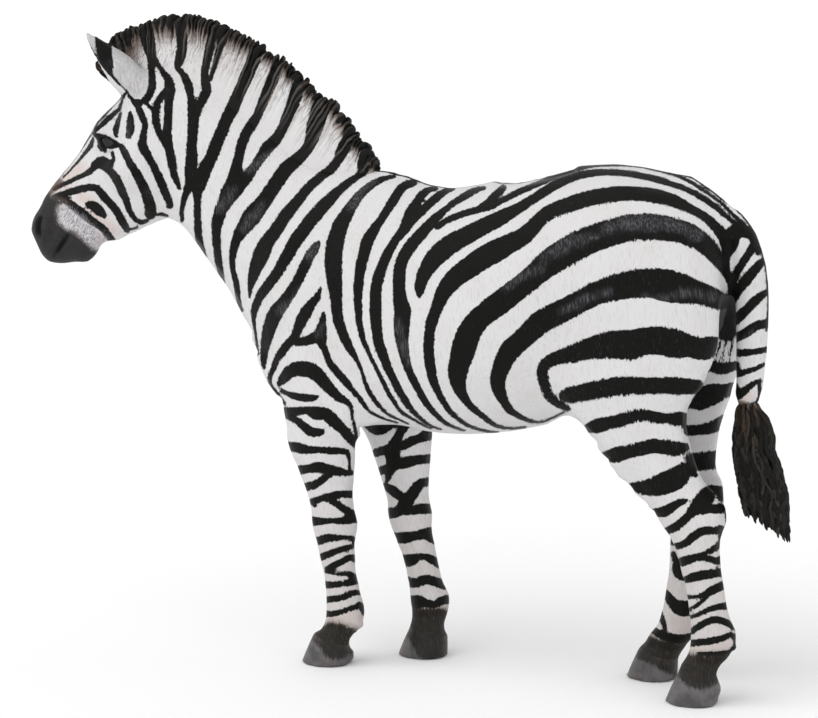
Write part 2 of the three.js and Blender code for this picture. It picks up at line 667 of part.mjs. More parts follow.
const box = new THREE.Box3().setFromObject(zebra);
const middle = box.getCenter(new THREE.Vector3());
zebra.children.forEach((mesh) => mesh.geometry.translate(-middle.x, -middle.y, -box.min.z));

export default zebra;
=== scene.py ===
"""Builds the looks of a moulded, hand-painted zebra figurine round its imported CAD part."""

import logging
import math
from dataclasses import dataclass, field
from enum import Enum

import bpy
import numpy as np
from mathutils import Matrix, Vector


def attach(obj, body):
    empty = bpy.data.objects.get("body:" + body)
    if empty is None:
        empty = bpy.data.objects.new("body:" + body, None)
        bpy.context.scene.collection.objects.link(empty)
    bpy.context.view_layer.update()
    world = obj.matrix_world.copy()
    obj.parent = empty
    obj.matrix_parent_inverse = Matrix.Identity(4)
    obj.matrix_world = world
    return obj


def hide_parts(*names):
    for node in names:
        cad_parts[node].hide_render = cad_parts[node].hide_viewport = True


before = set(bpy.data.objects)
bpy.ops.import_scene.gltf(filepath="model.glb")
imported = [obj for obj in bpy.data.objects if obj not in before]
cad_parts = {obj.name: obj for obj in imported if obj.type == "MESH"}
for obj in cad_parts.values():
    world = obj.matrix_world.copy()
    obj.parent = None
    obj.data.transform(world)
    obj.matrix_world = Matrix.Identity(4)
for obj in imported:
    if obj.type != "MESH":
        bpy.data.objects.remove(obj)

log = logging.getLogger("zebra")
MM = 0.001
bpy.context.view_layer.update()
CAD_SHIFT = np.array([2.4886, 0.0, 0.0])  # mm from the drawing's axes to the row frame
FAR_OFF = 99.0  # a distance, in picture units, that is past every mark
TINY = 1e-9
HANDS = (-1.0, 1.0)  # the zebra's left side is towards -Y, its right side towards +Y


# ---------------------------------------------------------------- picture plane
@dataclass(frozen=True)
class View:
    """The main camera, and the picture plane that the painted marks are drawn on."""

    target_z: float = 43.54
    azimuth: float = 22.0
    elevation: float = 8.0
    distance: float = 350.0
    focal: float = 2500.0  # in picture units
    scale: float = 0.14  # mm for each picture unit at the target
    centre: tuple[float, float] = (409.0, 359.0)
    width: float = 818.0
    sensor: float = 36.0
    clip: tuple[float, float] = (0.01, 10.0)  # in metres

    def axes(self) -> tuple[np.ndarray, np.ndarray, np.ndarray]:
        """Finds the camera's own axes.

        Returns:
            The unit vectors to the right, up and back to the camera.
        """
        a, e = math.radians(self.azimuth), math.radians(self.elevation)
        right = np.array([math.cos(a), math.sin(a), 0.0])
        back = np.array([math.sin(a) * math.cos(e), -math.cos(a) * math.cos(e), math.sin(e)])
        return right, np.cross(back, right), back

    def draw(self, points: np.ndarray) -> np.ndarray:
        """Places points on the picture plane.

        Args:
            points: n by 3 places in mm, on the drawing's axes.

        Returns:
            n by 2 picture places, rightwards and downwards.
        """
        right, up, back = self.axes()
        p = (points - np.array([0.0, 0.0, self.target_z])) / self.scale
        near = self.focal / (self.focal - p @ back)
        return np.stack([self.centre[0] + near * (p @ right), self.centre[1] - near * (p @ up)], 1)

    def place(self, picture: np.ndarray, side: np.ndarray | float = 0.0) -> np.ndarray:
        """Finds the places that lie behind picture places, at a given distance to the side.

        Args:
            picture: n by 2 picture places.
            side: The places' own Y in mm.

        Returns:
            n by 3 places in mm, on the drawing's axes.
        """
        right, up, back = self.axes()
        across = picture[:, :1] - self.centre[0]
        high = self.centre[1] - picture[:, 1:2]
        depth = np.broadcast_to(np.asarray(side, float).reshape(-1, 1), across.shape) / self.scale
        a = self.focal * right + across * back
        b = self.focal * up + high * back
        c = self.focal * across - a[:, 1:2] * depth
        d = self.focal * high - b[:, 1:2] * depth
        det = a[:, :1] * b[:, 2:] - a[:, 2:] * b[:, :1]
        x = (c * b[:, 2:] - a[:, 2:] * d) / det
        z = (a[:, :1] * d - c * b[:, :1]) / det
        return np.hstack([x, depth, z]) * self.scale + np.array([0.0, 0.0, self.target_z])

    def build(self) -> bpy.types.Object:
        """Makes the camera and sets it as the scene's.

        Returns:
            The camera.
        """
        data = bpy.data.cameras.new("camera")
        data.sensor_width = self.sensor
        data.lens = self.sensor * self.focal / self.width
        data.clip_start, data.clip_end = self.clip
        camera = bpy.data.objects.new("camera", data)
        bpy.context.scene.collection.objects.link(camera)
        back = Vector(self.axes()[2])
        target = Vector((CAD_SHIFT[0] * MM, 0.0, self.target_z * MM))
        camera.location = target + back * (self.distance * MM)
        camera.rotation_euler = back.to_track_quat("Z", "Y").to_euler()
        bpy.context.scene.camera = camera
        return camera


VIEW = View()


def smoothstep(low: float, high: float, value: np.ndarray) -> np.ndarray:
    """Ramps smoothly from 0 at low to 1 at high; high may be the lower number.

    Args:
        low: Where the ramp is 0.
        high: Where the ramp is 1.
        value: The numbers to ramp.

    Returns:
        A number from 0 to 1 for each value.
    """
    t = np.clip((value - low) / (high - low), 0.0, 1.0)
    return t * t * (3.0 - 2.0 * t)


def curve(a: np.ndarray, b: np.ndarray, c: np.ndarray, d: np.ndarray, t: np.ndarray) -> np.ndarray:
    """Runs a smooth curve from b to c.

    Args:
        a: The point before b.
        b: The start, at t = 0.
        c: The end, at t = 1.
        d: The point after c.
        t: Shares of the way.

    Returns:
        The points at t.
    """
    square = (2 * a - 5 * b + 4 * c - d) * t**2
    return 0.5 * (2 * b + (c - a) * t + square + (3 * b - a - 3 * c + d) * t**3)


def extended(points: np.ndarray) -> np.ndarray:
    """Returns the points with one more at each end, straight on."""
    return np.vstack([2 * points[0] - points[1], points, 2 * points[-1] - points[-2]])


def to_segment(places: np.ndarray, start: np.ndarray, end: np.ndarray) -> tuple[np.ndarray, np.ndarray]:
    """Measures places against a straight segment.

    Args:
        places: n by 2 picture places.
        start: The segment's first end.
        end: The segment's other end.

    Returns:
        Each place's share of the way along the segment, and its distance to it.
    """
    run = end - start
    share = np.clip(((places - start) @ run) / max(run @ run, TINY), 0.0, 1.0)
    return share, np.hypot(*(places - start - share[:, None] * run).T)


# ---------------------------------------------------------------- marks
DRIFT = (0.3, 0.8)  # moves every stroke by this much of the picture plane
CREST, CREST_FOLD = 1.3, 3.0  # how far past the middle the left side's marks run on, in mm
SPREAD = 0.45  # how far the paint spreads past a stroke's drawn edge


@dataclass(frozen=True)
class Stroke:
    """One brush stroke: places on the picture plane with the stroke's width at each."""

    name: str
    points: tuple[tuple[float, float, float], ...]

    def samples(self, steps: int = 4) -> np.ndarray:
        """Runs a smooth centre line through the stroke's points.

        Args:
            steps: How many samples each stretch gets.

        Returns:
            n by 3 samples: place and width.
        """
        p = np.array(self.points, float) + np.array([*DRIFT, 0.0])
        if len(p) < 3:
            return p
        q = extended(p)
        t = np.arange(steps)[:, None] / steps
        parts = [curve(q[i - 1], q[i], q[i + 1], q[i + 2], t) for i in range(1, len(q) - 2)]
        return np.vstack([*parts, p[-1:]])

    def distance(self, places: np.ndarray) -> np.ndarray:
        """Measures how far places are outside the stroke's edge.

        Args:
            places: n by 2 picture places.

        Returns:
            The distances; inside is negative.
        """
        line = self.samples()
        best = np.full(len(places), FAR_OFF)
        for a, b in zip(line[:-1], line[1:]):
            share, gap = to_segment(places, a[:2], b[:2])
            np.minimum(best, gap - 0.5 * (a[2] + share * (b[2] - a[2])), out=best)
        return best


@dataclass(frozen=True)
class Marks:
    """A set of strokes that is painted as one layer."""

    strokes: tuple[Stroke, ...]
    reach: float = 14.0  # the largest distance that is measured

    def distance(self, places: np.ndarray) -> np.ndarray:
        """Measures how far places are from the nearest edge of any stroke.

        Args:
            places: n by 2 picture places.

        Returns:
            The distances; inside is negative.
        """
        best = np.full(len(places), self.reach)
        for stroke in self.strokes:
            p = np.array(stroke.points, float)
            margin = self.reach + p[:, 2].max()
            low, high = p[:, :2].min(0) - margin, p[:, :2].max(0) + margin
            near = np.flatnonzero(((places > low) & (places < high)).all(1))
            if len(near):
                best[near] = np.minimum(best[near], stroke.distance(places[near]) - SPREAD)
        return best


@dataclass(frozen=True)
class Patch:
    """A closed outline on the picture plane."""

    name: str
    points: tuple[tuple[float, float], ...]

    def distance(self, places: np.ndarray) -> np.ndarray:
        """Measures how far places are outside the outline.

        Args:
            places: n by 2 picture places.

        Returns:
            The distances; inside is negative.
        """
        best = np.full(len(places), FAR_OFF)
        inside = np.zeros(len(places), bool)
        line = np.array([*self.points, self.points[0]], float)
        for a, b in zip(line[:-1], line[1:]):
            np.minimum(best, to_segment(places, a, b)[1], out=best)
            run = b - a
            crosses = (a[1] > places[:, 1]) != (b[1] > places[:, 1])
            if abs(run[1]) > TINY:
                inside ^= crosses & (places[:, 0] < a[0] + (places[:, 1] - a[1]) * run[0] / run[1])
        return np.where(inside, -best, best)


def to_patches(patches: tuple[Patch, ...], places: np.ndarray) -> np.ndarray:
    """Returns how far places are outside the nearest of several outlines."""
    return np.min([patch.distance(places) for patch in patches], 0)


class Reach(Enum):
    """Which part of the skin a relief moves."""

    FACING = "what faces the picture, on both sides"
    WIDE = "the same and what turns a little away"
    LEFT = "what faces the picture, on the left side"
    ROUND = "all round"
    ROUND_LEFT = "all round the left side"


@dataclass(frozen=True)
class Relief:
    """A groove or a ridge along a stroke; depth in mm, ridges above 0."""

    depth: float
    stroke: Stroke
    reach: Reach = Reach.FACING
    shoulder: float = 0.6  # where the slope ends, as a share of half the stroke's width

    def rise(self, places: np.ndarray) -> np.ndarray:
        """Returns how far each place is raised, in mm."""
        half = 0.5 * max(p[2] for p in self.stroke.points)
        return self.depth * smoothstep(self.shoulder * half, -half, self.stroke.distance(places))

    def share(self, facing: np.ndarray, y: np.ndarray) -> np.ndarray:
        """Finds how much each vertex takes part.

        Args:
            facing: How far the vertices face the picture, -1 to 1, once folded to the left.
            y: Their Y in mm.

        Returns:
            Shares from 0 to 1.
        """
        if self.reach is Reach.ROUND:
            return np.ones(len(y))
        if self.reach is Reach.ROUND_LEFT:
            return smoothstep(2.0, 0.0, y)
        if self.reach is Reach.WIDE:
            return smoothstep(-0.35, 0.0, facing)
        ahead = smoothstep(0.0, 0.35, facing)
        return ahead * (y < 0) if self.reach is Reach.LEFT else ahead


BODY_MARKS = Marks((
    # mane bands and the neck stripes below them
    Stroke("mane_1", (
        (146, 22, 12), (147, 35, 14), (150, 48, 12), (152, 60, 9), (151, 68, 7), (152, 78, 6.5),
        (151.5, 87, 7.5), (147, 96, 8), (141, 101, 5),
    )),
    Stroke("mane_1_foot", ((155, 58, 4), (159, 66, 4), (163, 71, 5))),
    Stroke("neck_1", (
        (163, 72, 5), (168, 79, 8), (169.5, 90, 11), (168.5, 100, 8.5), (168, 111, 8), (167.5, 122, 8),
        (167, 134, 8.5), (169, 148, 8), (171.5, 162, 8), (174, 174, 6.5), (177, 182, 5), (179, 188, 2.5),
    )),
    Stroke("neck_1_fork", (
        (163, 92, 5), (158, 100, 6), (155.5, 110, 7.5), (155.5, 120, 7), (157.5, 129, 6), (162, 138, 6),
        (166, 146, 5),
    )),
    Stroke("ear_line", ((129, 94, 3.5), (136, 98, 3), (143, 101, 3), (148, 104.5, 3), (153, 109, 3))),
    Stroke("mane_2", (
        (182, 18, 13), (181, 30, 11), (182, 45, 10), (180, 56, 10), (177.5, 66, 6), (180, 70, 5),
        (185, 77, 7), (188.5, 86, 8), (190.5, 97, 7), (192, 108, 9), (193, 120, 11), (192.5, 132, 10),
        (191.5, 145, 10), (191.5, 158, 12), (190.5, 170, 12), (190, 182, 10), (186, 192, 7),
        (183, 202, 5), (181.5, 211, 4), (182, 220, 3),
    )),
    Stroke("mane_3", (
        (212, 24, 9), (210.5, 42, 8), (207.5, 56, 8), (204.5, 70, 7), (205, 81, 8), (206, 90, 9.5),
        (202, 99, 9), (198, 108, 8), (195, 118, 7),
    )),
    Stroke("mane_3_rear", ((226, 26, 9), (221.5, 42, 7), (217, 57, 6), (213, 69, 4.5), (210, 79, 3))),
    Stroke("mane_4", (
        (262, 42, 16), (256, 52, 14), (251.5, 63, 13), (246.5, 75, 13), (241.5, 86, 12), (236.5, 97, 12),
        (232, 108, 13), (227, 117, 12), (223, 127, 12), (219, 136, 12), (215, 146, 12), (211, 156, 12),
        (206, 166, 13), (202, 175, 14), (199, 184, 13), (197, 192, 9), (197, 202, 7), (197, 213, 6.5),
        (197.5, 226, 7), (199, 239, 7), (202, 248, 5), (205, 256, 3),
    )),
    Stroke("mane_5", (
        (286, 56, 16), (279, 62, 13), (275.5, 70, 12), (272, 79, 12), (268.5, 88, 11), (264.5, 98, 10),
        (260, 108, 9), (256.5, 116, 9), (252, 123, 10), (247.5, 130, 10), (243.5, 138, 10),
        (240.5, 147, 9.5), (238.5, 156, 9.5), (236.5, 166, 11), (236, 175, 16), (235, 184, 20),
        (229, 193, 18), (224.5, 202, 14), (220, 211, 12), (217, 221, 11), (216, 232, 9), (216.5, 244, 8),
        (217.5, 256, 7), (219.5, 267, 6), (222, 278, 4), (224, 285, 2),
    )),
    Stroke("mane_6", (
        (304, 78, 14), (297.5, 88, 13), (294, 99, 12), (290, 109, 11), (285.5, 120, 10), (281, 130, 10),
        (275, 139, 11), (267, 147, 12), (261.5, 155, 10), (256.5, 163, 9), (250.5, 171, 10),
        (246, 178, 11), (239, 185, 9),
    )),
    Stroke("mane_7", (
        (328, 92, 18), (322, 104, 17), (318.5, 114, 17), (315, 125, 17), (312, 136, 14), (308, 146, 11),
        (302, 154, 11.5), (294, 161, 13), (286, 168, 14), (280, 176, 14), (274, 185, 14), (268, 194, 14),
        (261, 204, 15), (253.5, 213, 18), (247, 222, 16), (240, 232, 12), (235.5, 241, 9),
        (233, 250, 7.5), (232, 260, 6), (232.5, 270, 5), (235.5, 280, 5), (237, 290, 5), (238.5, 300, 4),
        (242, 310, 2),
    )),
    Stroke("mane_8", (
        (356, 124, 12), (351, 133, 13), (346, 142, 12), (341.5, 151, 11), (337, 160, 9), (331, 168, 9),
        (323, 174, 8.5), (314.5, 181, 9), (307, 188, 9), (300, 197, 10), (293, 205, 11), (286.5, 213, 12),
        (280.5, 222, 12.5), (274.5, 231, 13), (267, 241, 14), (262, 251, 16), (258.5, 260, 15),
        (255, 269, 12), (252, 278, 9), (250, 287, 5), (249.5, 296, 2),
    )),
    Stroke("withers_curl", (
        (371, 142, 9), (366, 152, 11), (364, 162, 12), (362.5, 170, 10), (358, 175, 6), (352, 179, 7),
        (343, 186, 8), (334, 194, 10), (326, 202, 12), (318, 211, 13), (310, 220, 13), (302, 231, 13),
        (294, 242, 13), (287.5, 254, 12), (281, 265, 11), (275, 275, 10), (268, 284, 10), (262, 292, 9),
        (257.5, 300, 8), (254.5, 308, 7), (253.5, 317, 4), (254.5, 328, 2.4), (256.5, 342, 2),
        (258, 354, 1.6),
    )),
    # shoulder
    Stroke("shoulder_1", (
        (318, 242, 4), (314, 248, 9), (309, 256, 9.5), (305, 264, 10), (301, 273, 10), (296, 283, 10),
        (290, 292, 11), (284, 301, 12), (277.5, 309, 14), (272.5, 318, 14), (269, 328, 13),
        (266.5, 338, 11), (264.5, 348, 8), (263.5, 358, 6), (263.5, 367, 3),
    )),
    Stroke("shoulder_2", (
        (320.5, 287, 2), (316.5, 297, 7), (310.5, 304, 9), (305.5, 312, 12), (301, 320, 11),
        (297.5, 329, 9), (293.5, 337, 8), (287, 344, 8), (281, 352, 8), (276, 360, 6), (273, 368, 5),
        (269.5, 376, 4), (270.5, 384, 3), (277, 393, 3), (284, 402, 3),
    )),
    Stroke("shoulder_hook", (
        (323, 312, 3), (322.5, 320, 6), (321, 328, 10), (320.5, 336, 12), (321.5, 343, 8), (325, 350, 6),
        (328.6, 360, 6.4), (335.7, 370, 7.4), (344.6, 380, 7.2), (349, 385.5, 6.4), (353, 390.5, 5),
        (361.1, 400, 4), (368.6, 410, 2.8), (377, 415, 2.2), (387, 419, 1.6), (397, 422, 1.2),
    )),
    Stroke("shoulder_bridge", ((297, 341, 8), (307, 340, 9), (316, 336, 11), (320, 338, 9))),
    Stroke("shoulder_arch", (
        (279, 383, 5), (284, 377, 10), (291, 370, 13), (300, 368, 15), (309, 369, 15), (317, 374, 14),
        (323.5, 381, 12), (330.5, 389, 10), (338.6, 396.4, 8.4), (344, 400, 7), (349, 403, 4),
        (351.4, 408.6, 3), (352, 416, 2.6), (354.3, 426, 2.6), (356, 436, 3), (356, 446, 2.5),
    )),
    Stroke("upper_arm_bar", (
        (281, 390, 3), (288, 393, 5), (297, 396, 7), (306, 397, 7), (313, 397, 6), (317, 396, 3),
    )),
    # near foreleg
    Stroke("fore_1", (
        (286, 412, 11), (297, 410, 7), (309, 410, 8), (316, 412.5, 13), (325, 413, 12), (333, 420, 12),
        (341, 427, 10), (347, 434, 10), (352, 440, 8), (355, 446, 3),
    )),
    Stroke("fore_1_low", (
        (288, 416, 5), (297, 420, 7), (304, 426, 8), (311, 431, 9), (319, 431.5, 7), (324, 430, 3),
    )),
    Stroke("fore_2", (
        (288, 445, 8), (298, 447, 10), (308, 449, 8), (318, 449, 6), (330, 450, 7), (340, 450, 5.5),
        (347, 452, 5), (349, 461, 2), (349.5, 470, 3),
    )),
    Stroke("fore_3", (
        (301, 469, 9), (309, 468, 8), (317, 466.5, 10.5), (327, 468, 9), (337, 470.5, 9), (345, 472, 6),
        (351, 472, 5),
    )),
    Stroke("fore_3_fork", ((307, 486, 8), (315, 483.5, 8), (322, 479, 7), (328, 474, 7), (334, 471, 5))),
    Stroke("fore_4", ((313, 501, 7), (321, 498, 6), (331, 495, 7), (341, 493.5, 7), (351, 493.5, 7))),
    Stroke("fore_4_fork", ((327, 499, 4), (335, 502, 6), (342, 507, 7), (349, 511, 7), (356, 517, 6))),
    Stroke("fore_4_nick", ((312, 500, 5), (315, 505, 3))),
    Stroke("fore_5", (
        (312, 520.5, 9), (321, 520.5, 7), (330, 520, 5), (340, 520, 6), (348, 519, 8), (356, 519, 6),
    )),
    Stroke("fore_6", (
        (318, 540, 8), (327, 537.5, 8), (336, 537, 6), (345, 537, 4), (352, 538, 5), (355, 543, 5),
    )),
    Stroke("fore_7", ((322, 556, 7), (332, 552, 6), (340, 549, 5.5), (347, 547, 5), (353, 545.5, 4))),
    Stroke("fore_8", (
        (356, 558, 7), (349, 557, 6), (343, 560, 6), (337, 563, 6), (331, 566, 6), (327, 569.5, 6),
        (333, 571.5, 4), (340, 573, 4), (348, 573, 5), (354, 577, 7), (358, 579, 7),
    )),
    Stroke("fore_9", ((325, 584, 7), (333, 584, 6), (341, 583, 5), (349, 582, 6), (357, 580, 6))),
    Stroke("fore_10", (
        (325, 599, 6), (334, 598, 6), (341, 597, 5), (348, 594, 6), (354, 592, 5), (360, 592, 4),
    )),
    Stroke("fore_11", (
        (325, 613, 6), (333, 613, 5.5), (341, 611, 5), (349, 608, 5), (356, 606, 5), (360, 604, 5),
        (363, 613, 3),
    )),
    # barrel
    Stroke("barrel_1", (
        (394, 175.5, 3), (383, 178, 5), (373, 183, 7), (364, 190, 8), (357, 197, 9), (351, 206, 11),
        (345.5, 215, 13), (340, 225, 15), (336.5, 236, 16), (334, 248, 17), (333, 260, 17),
        (333.5, 272, 16), (334.5, 284, 14), (335.5, 296, 12), (336.8, 310, 10.5), (338.2, 320, 10),
        (341.8, 330, 9.6), (345.7, 340, 9), (351, 350, 7), (356.6, 359.5, 4), (361.3, 370, 3),
        (364.3, 380, 3.2), (368.4, 390, 3.8), (374.8, 400, 4.2), (383.5, 410, 3.2), (390.7, 415, 2.4),
        (401.4, 420, 1.4), (408, 423, 1),
    )),
    Stroke("barrel_2", (
        (413, 182, 7), (405, 184.5, 8), (399, 190, 9), (393.5, 199, 9), (387, 209, 8), (380, 220, 8),
        (373, 230, 10), (367, 241, 12), (364, 252, 11), (361, 264, 10.5), (359, 276, 9.5), (358, 289, 9),
        (357.6, 300, 7.8), (358.2, 310, 7.2), (358.8, 320, 6.2), (360.6, 330, 5.6), (363.2, 340, 5.2),
        (367.5, 350, 4), (372.1, 360, 3.4), (377.1, 370, 3.4), (382.1, 380, 4), (387.1, 390, 4),
        (393, 400, 3.8), (400, 410, 3.4), (407.9, 415.5, 2.8), (415.7, 420, 2.2), (424.3, 425, 1.6),
        (431, 427.5, 1.2),
    )),
    Stroke("barrel_3", (
        (436, 188, 3), (428, 189.5, 6), (421, 195, 8), (416, 203, 9), (411, 213, 13), (407, 223, 12),
        (401, 232, 9), (395, 240, 8), (390, 248, 9), (385, 258, 10), (381, 268, 10), (377.5, 279, 11),
        (375.5, 291, 11), (375.4, 303, 11.2), (375.2, 311, 11.5), (375.6, 320, 11), (376.6, 330, 10.4),
        (378, 340, 9.8), (381.2, 350, 10), (384.9, 360, 8.6), (388.8, 370, 7.8), (394.1, 380, 7.4),
        (398.8, 390, 7.2), (405, 400, 6.6), (412.1, 410, 5), (417.1, 415, 4), (423, 420, 3),
        (430.5, 425, 2.2), (440.7, 428.5, 1.4),
    )),
    Stroke("barrel_3_fork", (
        (453, 188, 3), (444, 191, 6), (436, 197, 8), (428, 204, 8), (420, 211, 9), (413, 218, 9),
    )),
    Stroke("barrel_4", (
        (484, 187, 3), (474, 190, 6), (465, 195, 7), (455, 201, 6), (446, 208, 6), (438, 215, 8),
        (430, 223, 10), (421, 233, 11), (412, 243, 12), (404.5, 254, 12), (400, 265, 11.5),
        (399, 277, 12), (399, 289, 12), (400.1, 300, 14), (402.2, 310, 16.4), (401.8, 320, 16),
        (401.2, 330, 14.8), (401.9, 340, 12.2), (403.2, 350, 10.2), (405.4, 360, 8.4), (408.8, 370, 7.6),
        (413.6, 380, 7.2), (418.8, 390, 6.8), (424.5, 400, 6.4), (432.1, 410, 5.4), (442.1, 420, 4),
        (450.7, 425, 3), (464.3, 430, 1.6),
    )),
    Stroke("barrel_4_fork", (
        (503, 187, 6), (496, 194, 8), (487, 203, 8), (477, 209, 6.5), (466, 212, 6), (455, 216, 6),
        (445, 220.5, 5.5), (437, 226, 6),
    )),
    Stroke("croup_edge", (
        (478, 209, 6), (490, 206, 6), (500, 200.5, 5.5), (510, 195.5, 6), (520, 190.5, 6),
        (532, 185.5, 5.5), (545, 180, 5), (558, 174.5, 4.5), (572, 169.5, 4.5), (586, 166, 4),
        (600, 164, 3.5), (620, 163.5, 3.5), (640, 165, 3.5), (660, 169.5, 3.5), (671, 172.5, 3.4),
        (681, 176.5, 3.2), (690, 181, 3), (698, 186, 3), (708, 192.5, 2.8), (716, 198.5, 2.8),
        (724, 205, 2.8), (731, 212, 3), (738, 219, 4), (744, 225, 5),
    )),
    Stroke("croup_line", (
        (700, 186, 1.4), (712, 190, 1.6), (722, 196.5, 1.8), (732, 204.5, 2), (742, 214.5, 2),
        (750, 225, 2), (757, 238, 2), (761, 249, 2),
    )),
    Stroke("croup_1", (
        (419, 296, 3), (419.5, 288, 10), (421.5, 279, 12), (426, 269, 15), (433, 259, 18), (442, 250, 19),
        (451, 243, 19), (462, 237, 18), (473, 231, 17), (485, 225, 16), (497, 219, 15), (508, 213, 13),
        (519, 207, 10), (530, 200, 9), (541, 193, 9), (552, 186, 9), (563, 180, 9), (575, 175.5, 8),
        (590, 172.5, 7), (605, 171.5, 6), (620, 172, 6), (635, 174, 6), (650, 177, 6), (662, 180, 6.5),
        (670, 183, 5.2), (680, 186, 5.2), (690, 190.5, 5.2), (700, 195.5, 5.6), (710, 202.5, 5.6),
        (716, 206.5, 5.8), (722, 212, 5), (728, 217, 4), (735, 223.5, 4), (741, 226, 5),
    )),
    Stroke("croup_2", (
        (500, 248, 22), (490, 253, 22), (480, 259, 22), (470, 266, 21), (460, 273, 20), (451, 281, 18),
        (443.5, 291, 15.5), (439.5, 300, 13), (435.4, 310, 11.4), (431.8, 320, 11.2), (429.6, 330, 10),
        (428.6, 340, 10), (428.3, 350, 10), (429.4, 360, 9.8), (430.8, 370, 9.4), (433.1, 380, 8.4),
        (437.2, 390, 7), (442.6, 400, 6.2), (449.2, 410, 5.2), (454.6, 415, 4.6), (460.6, 420, 3.8),
        (469.6, 425.5, 3), (484.3, 430, 2.2), (498, 431.5, 1.4),
    )),
    Stroke("croup_2_rear", (
        (490, 253, 21), (500, 247.5, 20), (511, 242, 19), (523, 235.5, 17), (532, 227, 15),
        (541, 217.5, 14), (552, 210, 14), (570, 203.5, 15), (585, 198.5, 15), (600, 195.5, 15.5),
        (618, 193, 14.5), (638, 193, 13.5), (655, 195, 14), (670, 198.8, 12.4), (680, 203, 11),
        (691.5, 208.8, 8.8), (703, 215.2, 8.8), (711, 221.8, 9), (718, 229, 10.5), (723.5, 236, 12),
        (726.5, 244, 12),
    )),
    # Black at the dock's root, and below it painted shadow in the gap between the haunch and the tail.
    Stroke("dock_corner", (
        (730, 231, 9), (735, 234, 9), (733, 239, 12), (729, 246, 14), (725.5, 255, 9), (725.5, 264, 7.5),
        (727, 272, 6), (729.5, 280, 4), (730, 290, 5), (729, 298, 8), (728, 305, 12), (728, 314, 12),
        (727.5, 323, 12), (726.5, 331, 11),
    )),
    Stroke("rear_thigh_1", ((716.5, 367, 10.5), (724, 367, 11), (736, 365, 8))),
    Stroke("rear_thigh_2", (
        (700, 401, 16), (706.5, 396, 20), (714, 393.5, 19), (722, 391, 14), (733, 388.5, 13),
    )),
    Stroke("rear_thigh_3", (
        (688, 430, 10), (698, 430, 11), (709, 427.5, 11), (717, 424, 12), (724, 420, 13),
    )),
    Stroke("rear_thigh_4", ((690, 459, 12), (697, 461, 17), (705, 461, 18), (714, 459, 18))),
    Stroke("haunch_1", (
        (490, 309, 23), (506, 297, 23), (529, 279, 22), (549, 262, 26), (570, 249, 28), (590, 239, 27),
        (610, 232, 26.5), (630, 227, 26), (650, 226, 26), (668, 228, 24), (684, 232, 22), (697, 238, 20),
        (707, 246, 18), (715, 255, 15), (722, 265, 11), (727, 275, 7), (730, 284, 5),
    )),
    # Its thin end along the belly's lower edge is a painted shade line on the contour.
    Stroke("haunch_1_belly", (
        (490, 309, 22), (479, 318, 22), (471, 328, 23), (466.5, 338, 24), (463, 349, 24),
        (460, 360, 21.5), (457.6, 370, 19.5), (457.6, 380, 15.5), (460.2, 390, 11.5), (466.2, 400, 7.6),
        (470, 405, 7), (475.8, 410, 6.2), (482, 415, 5.4), (488.2, 420, 4.8), (497.9, 425.5, 3.4),
        (510, 427.5, 2.2), (525, 426.5, 1.8),
    )),
    # Its thin end along the belly's lower edge is a painted shade line on the contour.
    Stroke("haunch_2", (
        (723, 302, 15), (713, 297.5, 20), (700, 292.5, 22), (686, 289, 27), (670, 285.5, 32),
        (652, 282.5, 29), (635, 283, 28), (618, 286, 26), (600, 291, 23), (585, 298, 22), (570, 306, 22),
        (555, 313.5, 23), (541, 321, 23), (530, 331, 21), (519, 341, 20), (509.5, 350, 20),
        (503.9, 360, 18.5), (499.8, 370, 16.5), (497.4, 380, 14.6), (499, 390, 12.6), (503.6, 400, 9),
        (506.4, 405, 8.2), (510.6, 410, 7), (519.3, 415.5, 5), (530.7, 420.5, 3.2), (541, 421, 2),
        (551, 417.5, 1.8), (560, 413, 1.6), (570, 408.5, 1.4),
    )),
    Stroke("haunch_3", (
        (716, 342, 11), (710, 346, 20), (702, 348, 22), (690, 345.5, 22), (675, 343, 28), (660, 340, 28),
        (645, 340.5, 27), (630, 344, 29), (615, 344, 28), (600, 345.5, 24), (585, 349, 20),
        (570, 353.5, 17), (556, 357.5, 13), (546.5, 362, 11.5), (542, 370, 11), (543.4, 380, 10.6),
        (546.6, 390, 9.2), (549.6, 396, 9), (555.5, 401.5, 8), (561, 404.5, 7), (567, 408, 5),
    )),
    Stroke("haunch_4", (
        (564, 395, 11), (571, 394, 16), (582, 392, 17), (595, 389, 18), (608, 387, 18), (622, 385, 18),
        (640, 385, 17), (658, 385, 16), (675, 385, 17), (690, 386, 15), (697, 385.5, 13),
    )),
    # near hind leg
    Stroke("thigh_1", (
        (586, 428, 7), (597, 425, 14), (609, 422, 12), (621, 419.5, 13), (633, 415.5, 12),
        (645, 414.5, 11), (657, 417, 11), (669, 418, 10), (680, 418.5, 14), (688, 420, 10),
    )),
    Stroke("thigh_2", (
        (605, 456, 10), (617, 454, 15), (628, 451, 13), (639, 448.5, 13), (651, 445.5, 14),
        (663, 446, 14), (674, 448, 15), (684, 447, 10),
    )),
    Stroke("thigh_3", (
        (631, 485, 6), (642, 487, 13), (653, 486, 18), (664, 482.5, 22), (675, 478, 22), (683, 471, 17),
        (689, 468, 12), (695, 474, 5),
    )),
    Stroke("gaskin_1", ((653, 511, 6), (663, 511, 10), (671, 507, 9), (679, 502, 7), (686, 500, 4))),
    Stroke("gaskin_2", (
        (664, 531, 6), (674, 527, 8), (682, 521, 8), (690, 513, 9), (698, 505, 15), (705, 497, 17),
        (710, 490, 11), (717, 488, 6), (720, 499, 4),
    )),
    Stroke("hock_1", ((690, 507, 4), (700, 508.5, 10), (710, 508, 8), (720, 508, 10))),
    Stroke("hock_point", ((727, 512, 5), (728.5, 521, 6))),
    Stroke("hock_2", (
        (674, 546, 6), (684, 543, 7), (692, 537, 8), (700, 531, 8), (707, 529.5, 8), (714, 530, 7),
        (721, 529, 8), (719.5, 537, 3), (719.5, 544, 4),
    )),
    Stroke("hind_1", (
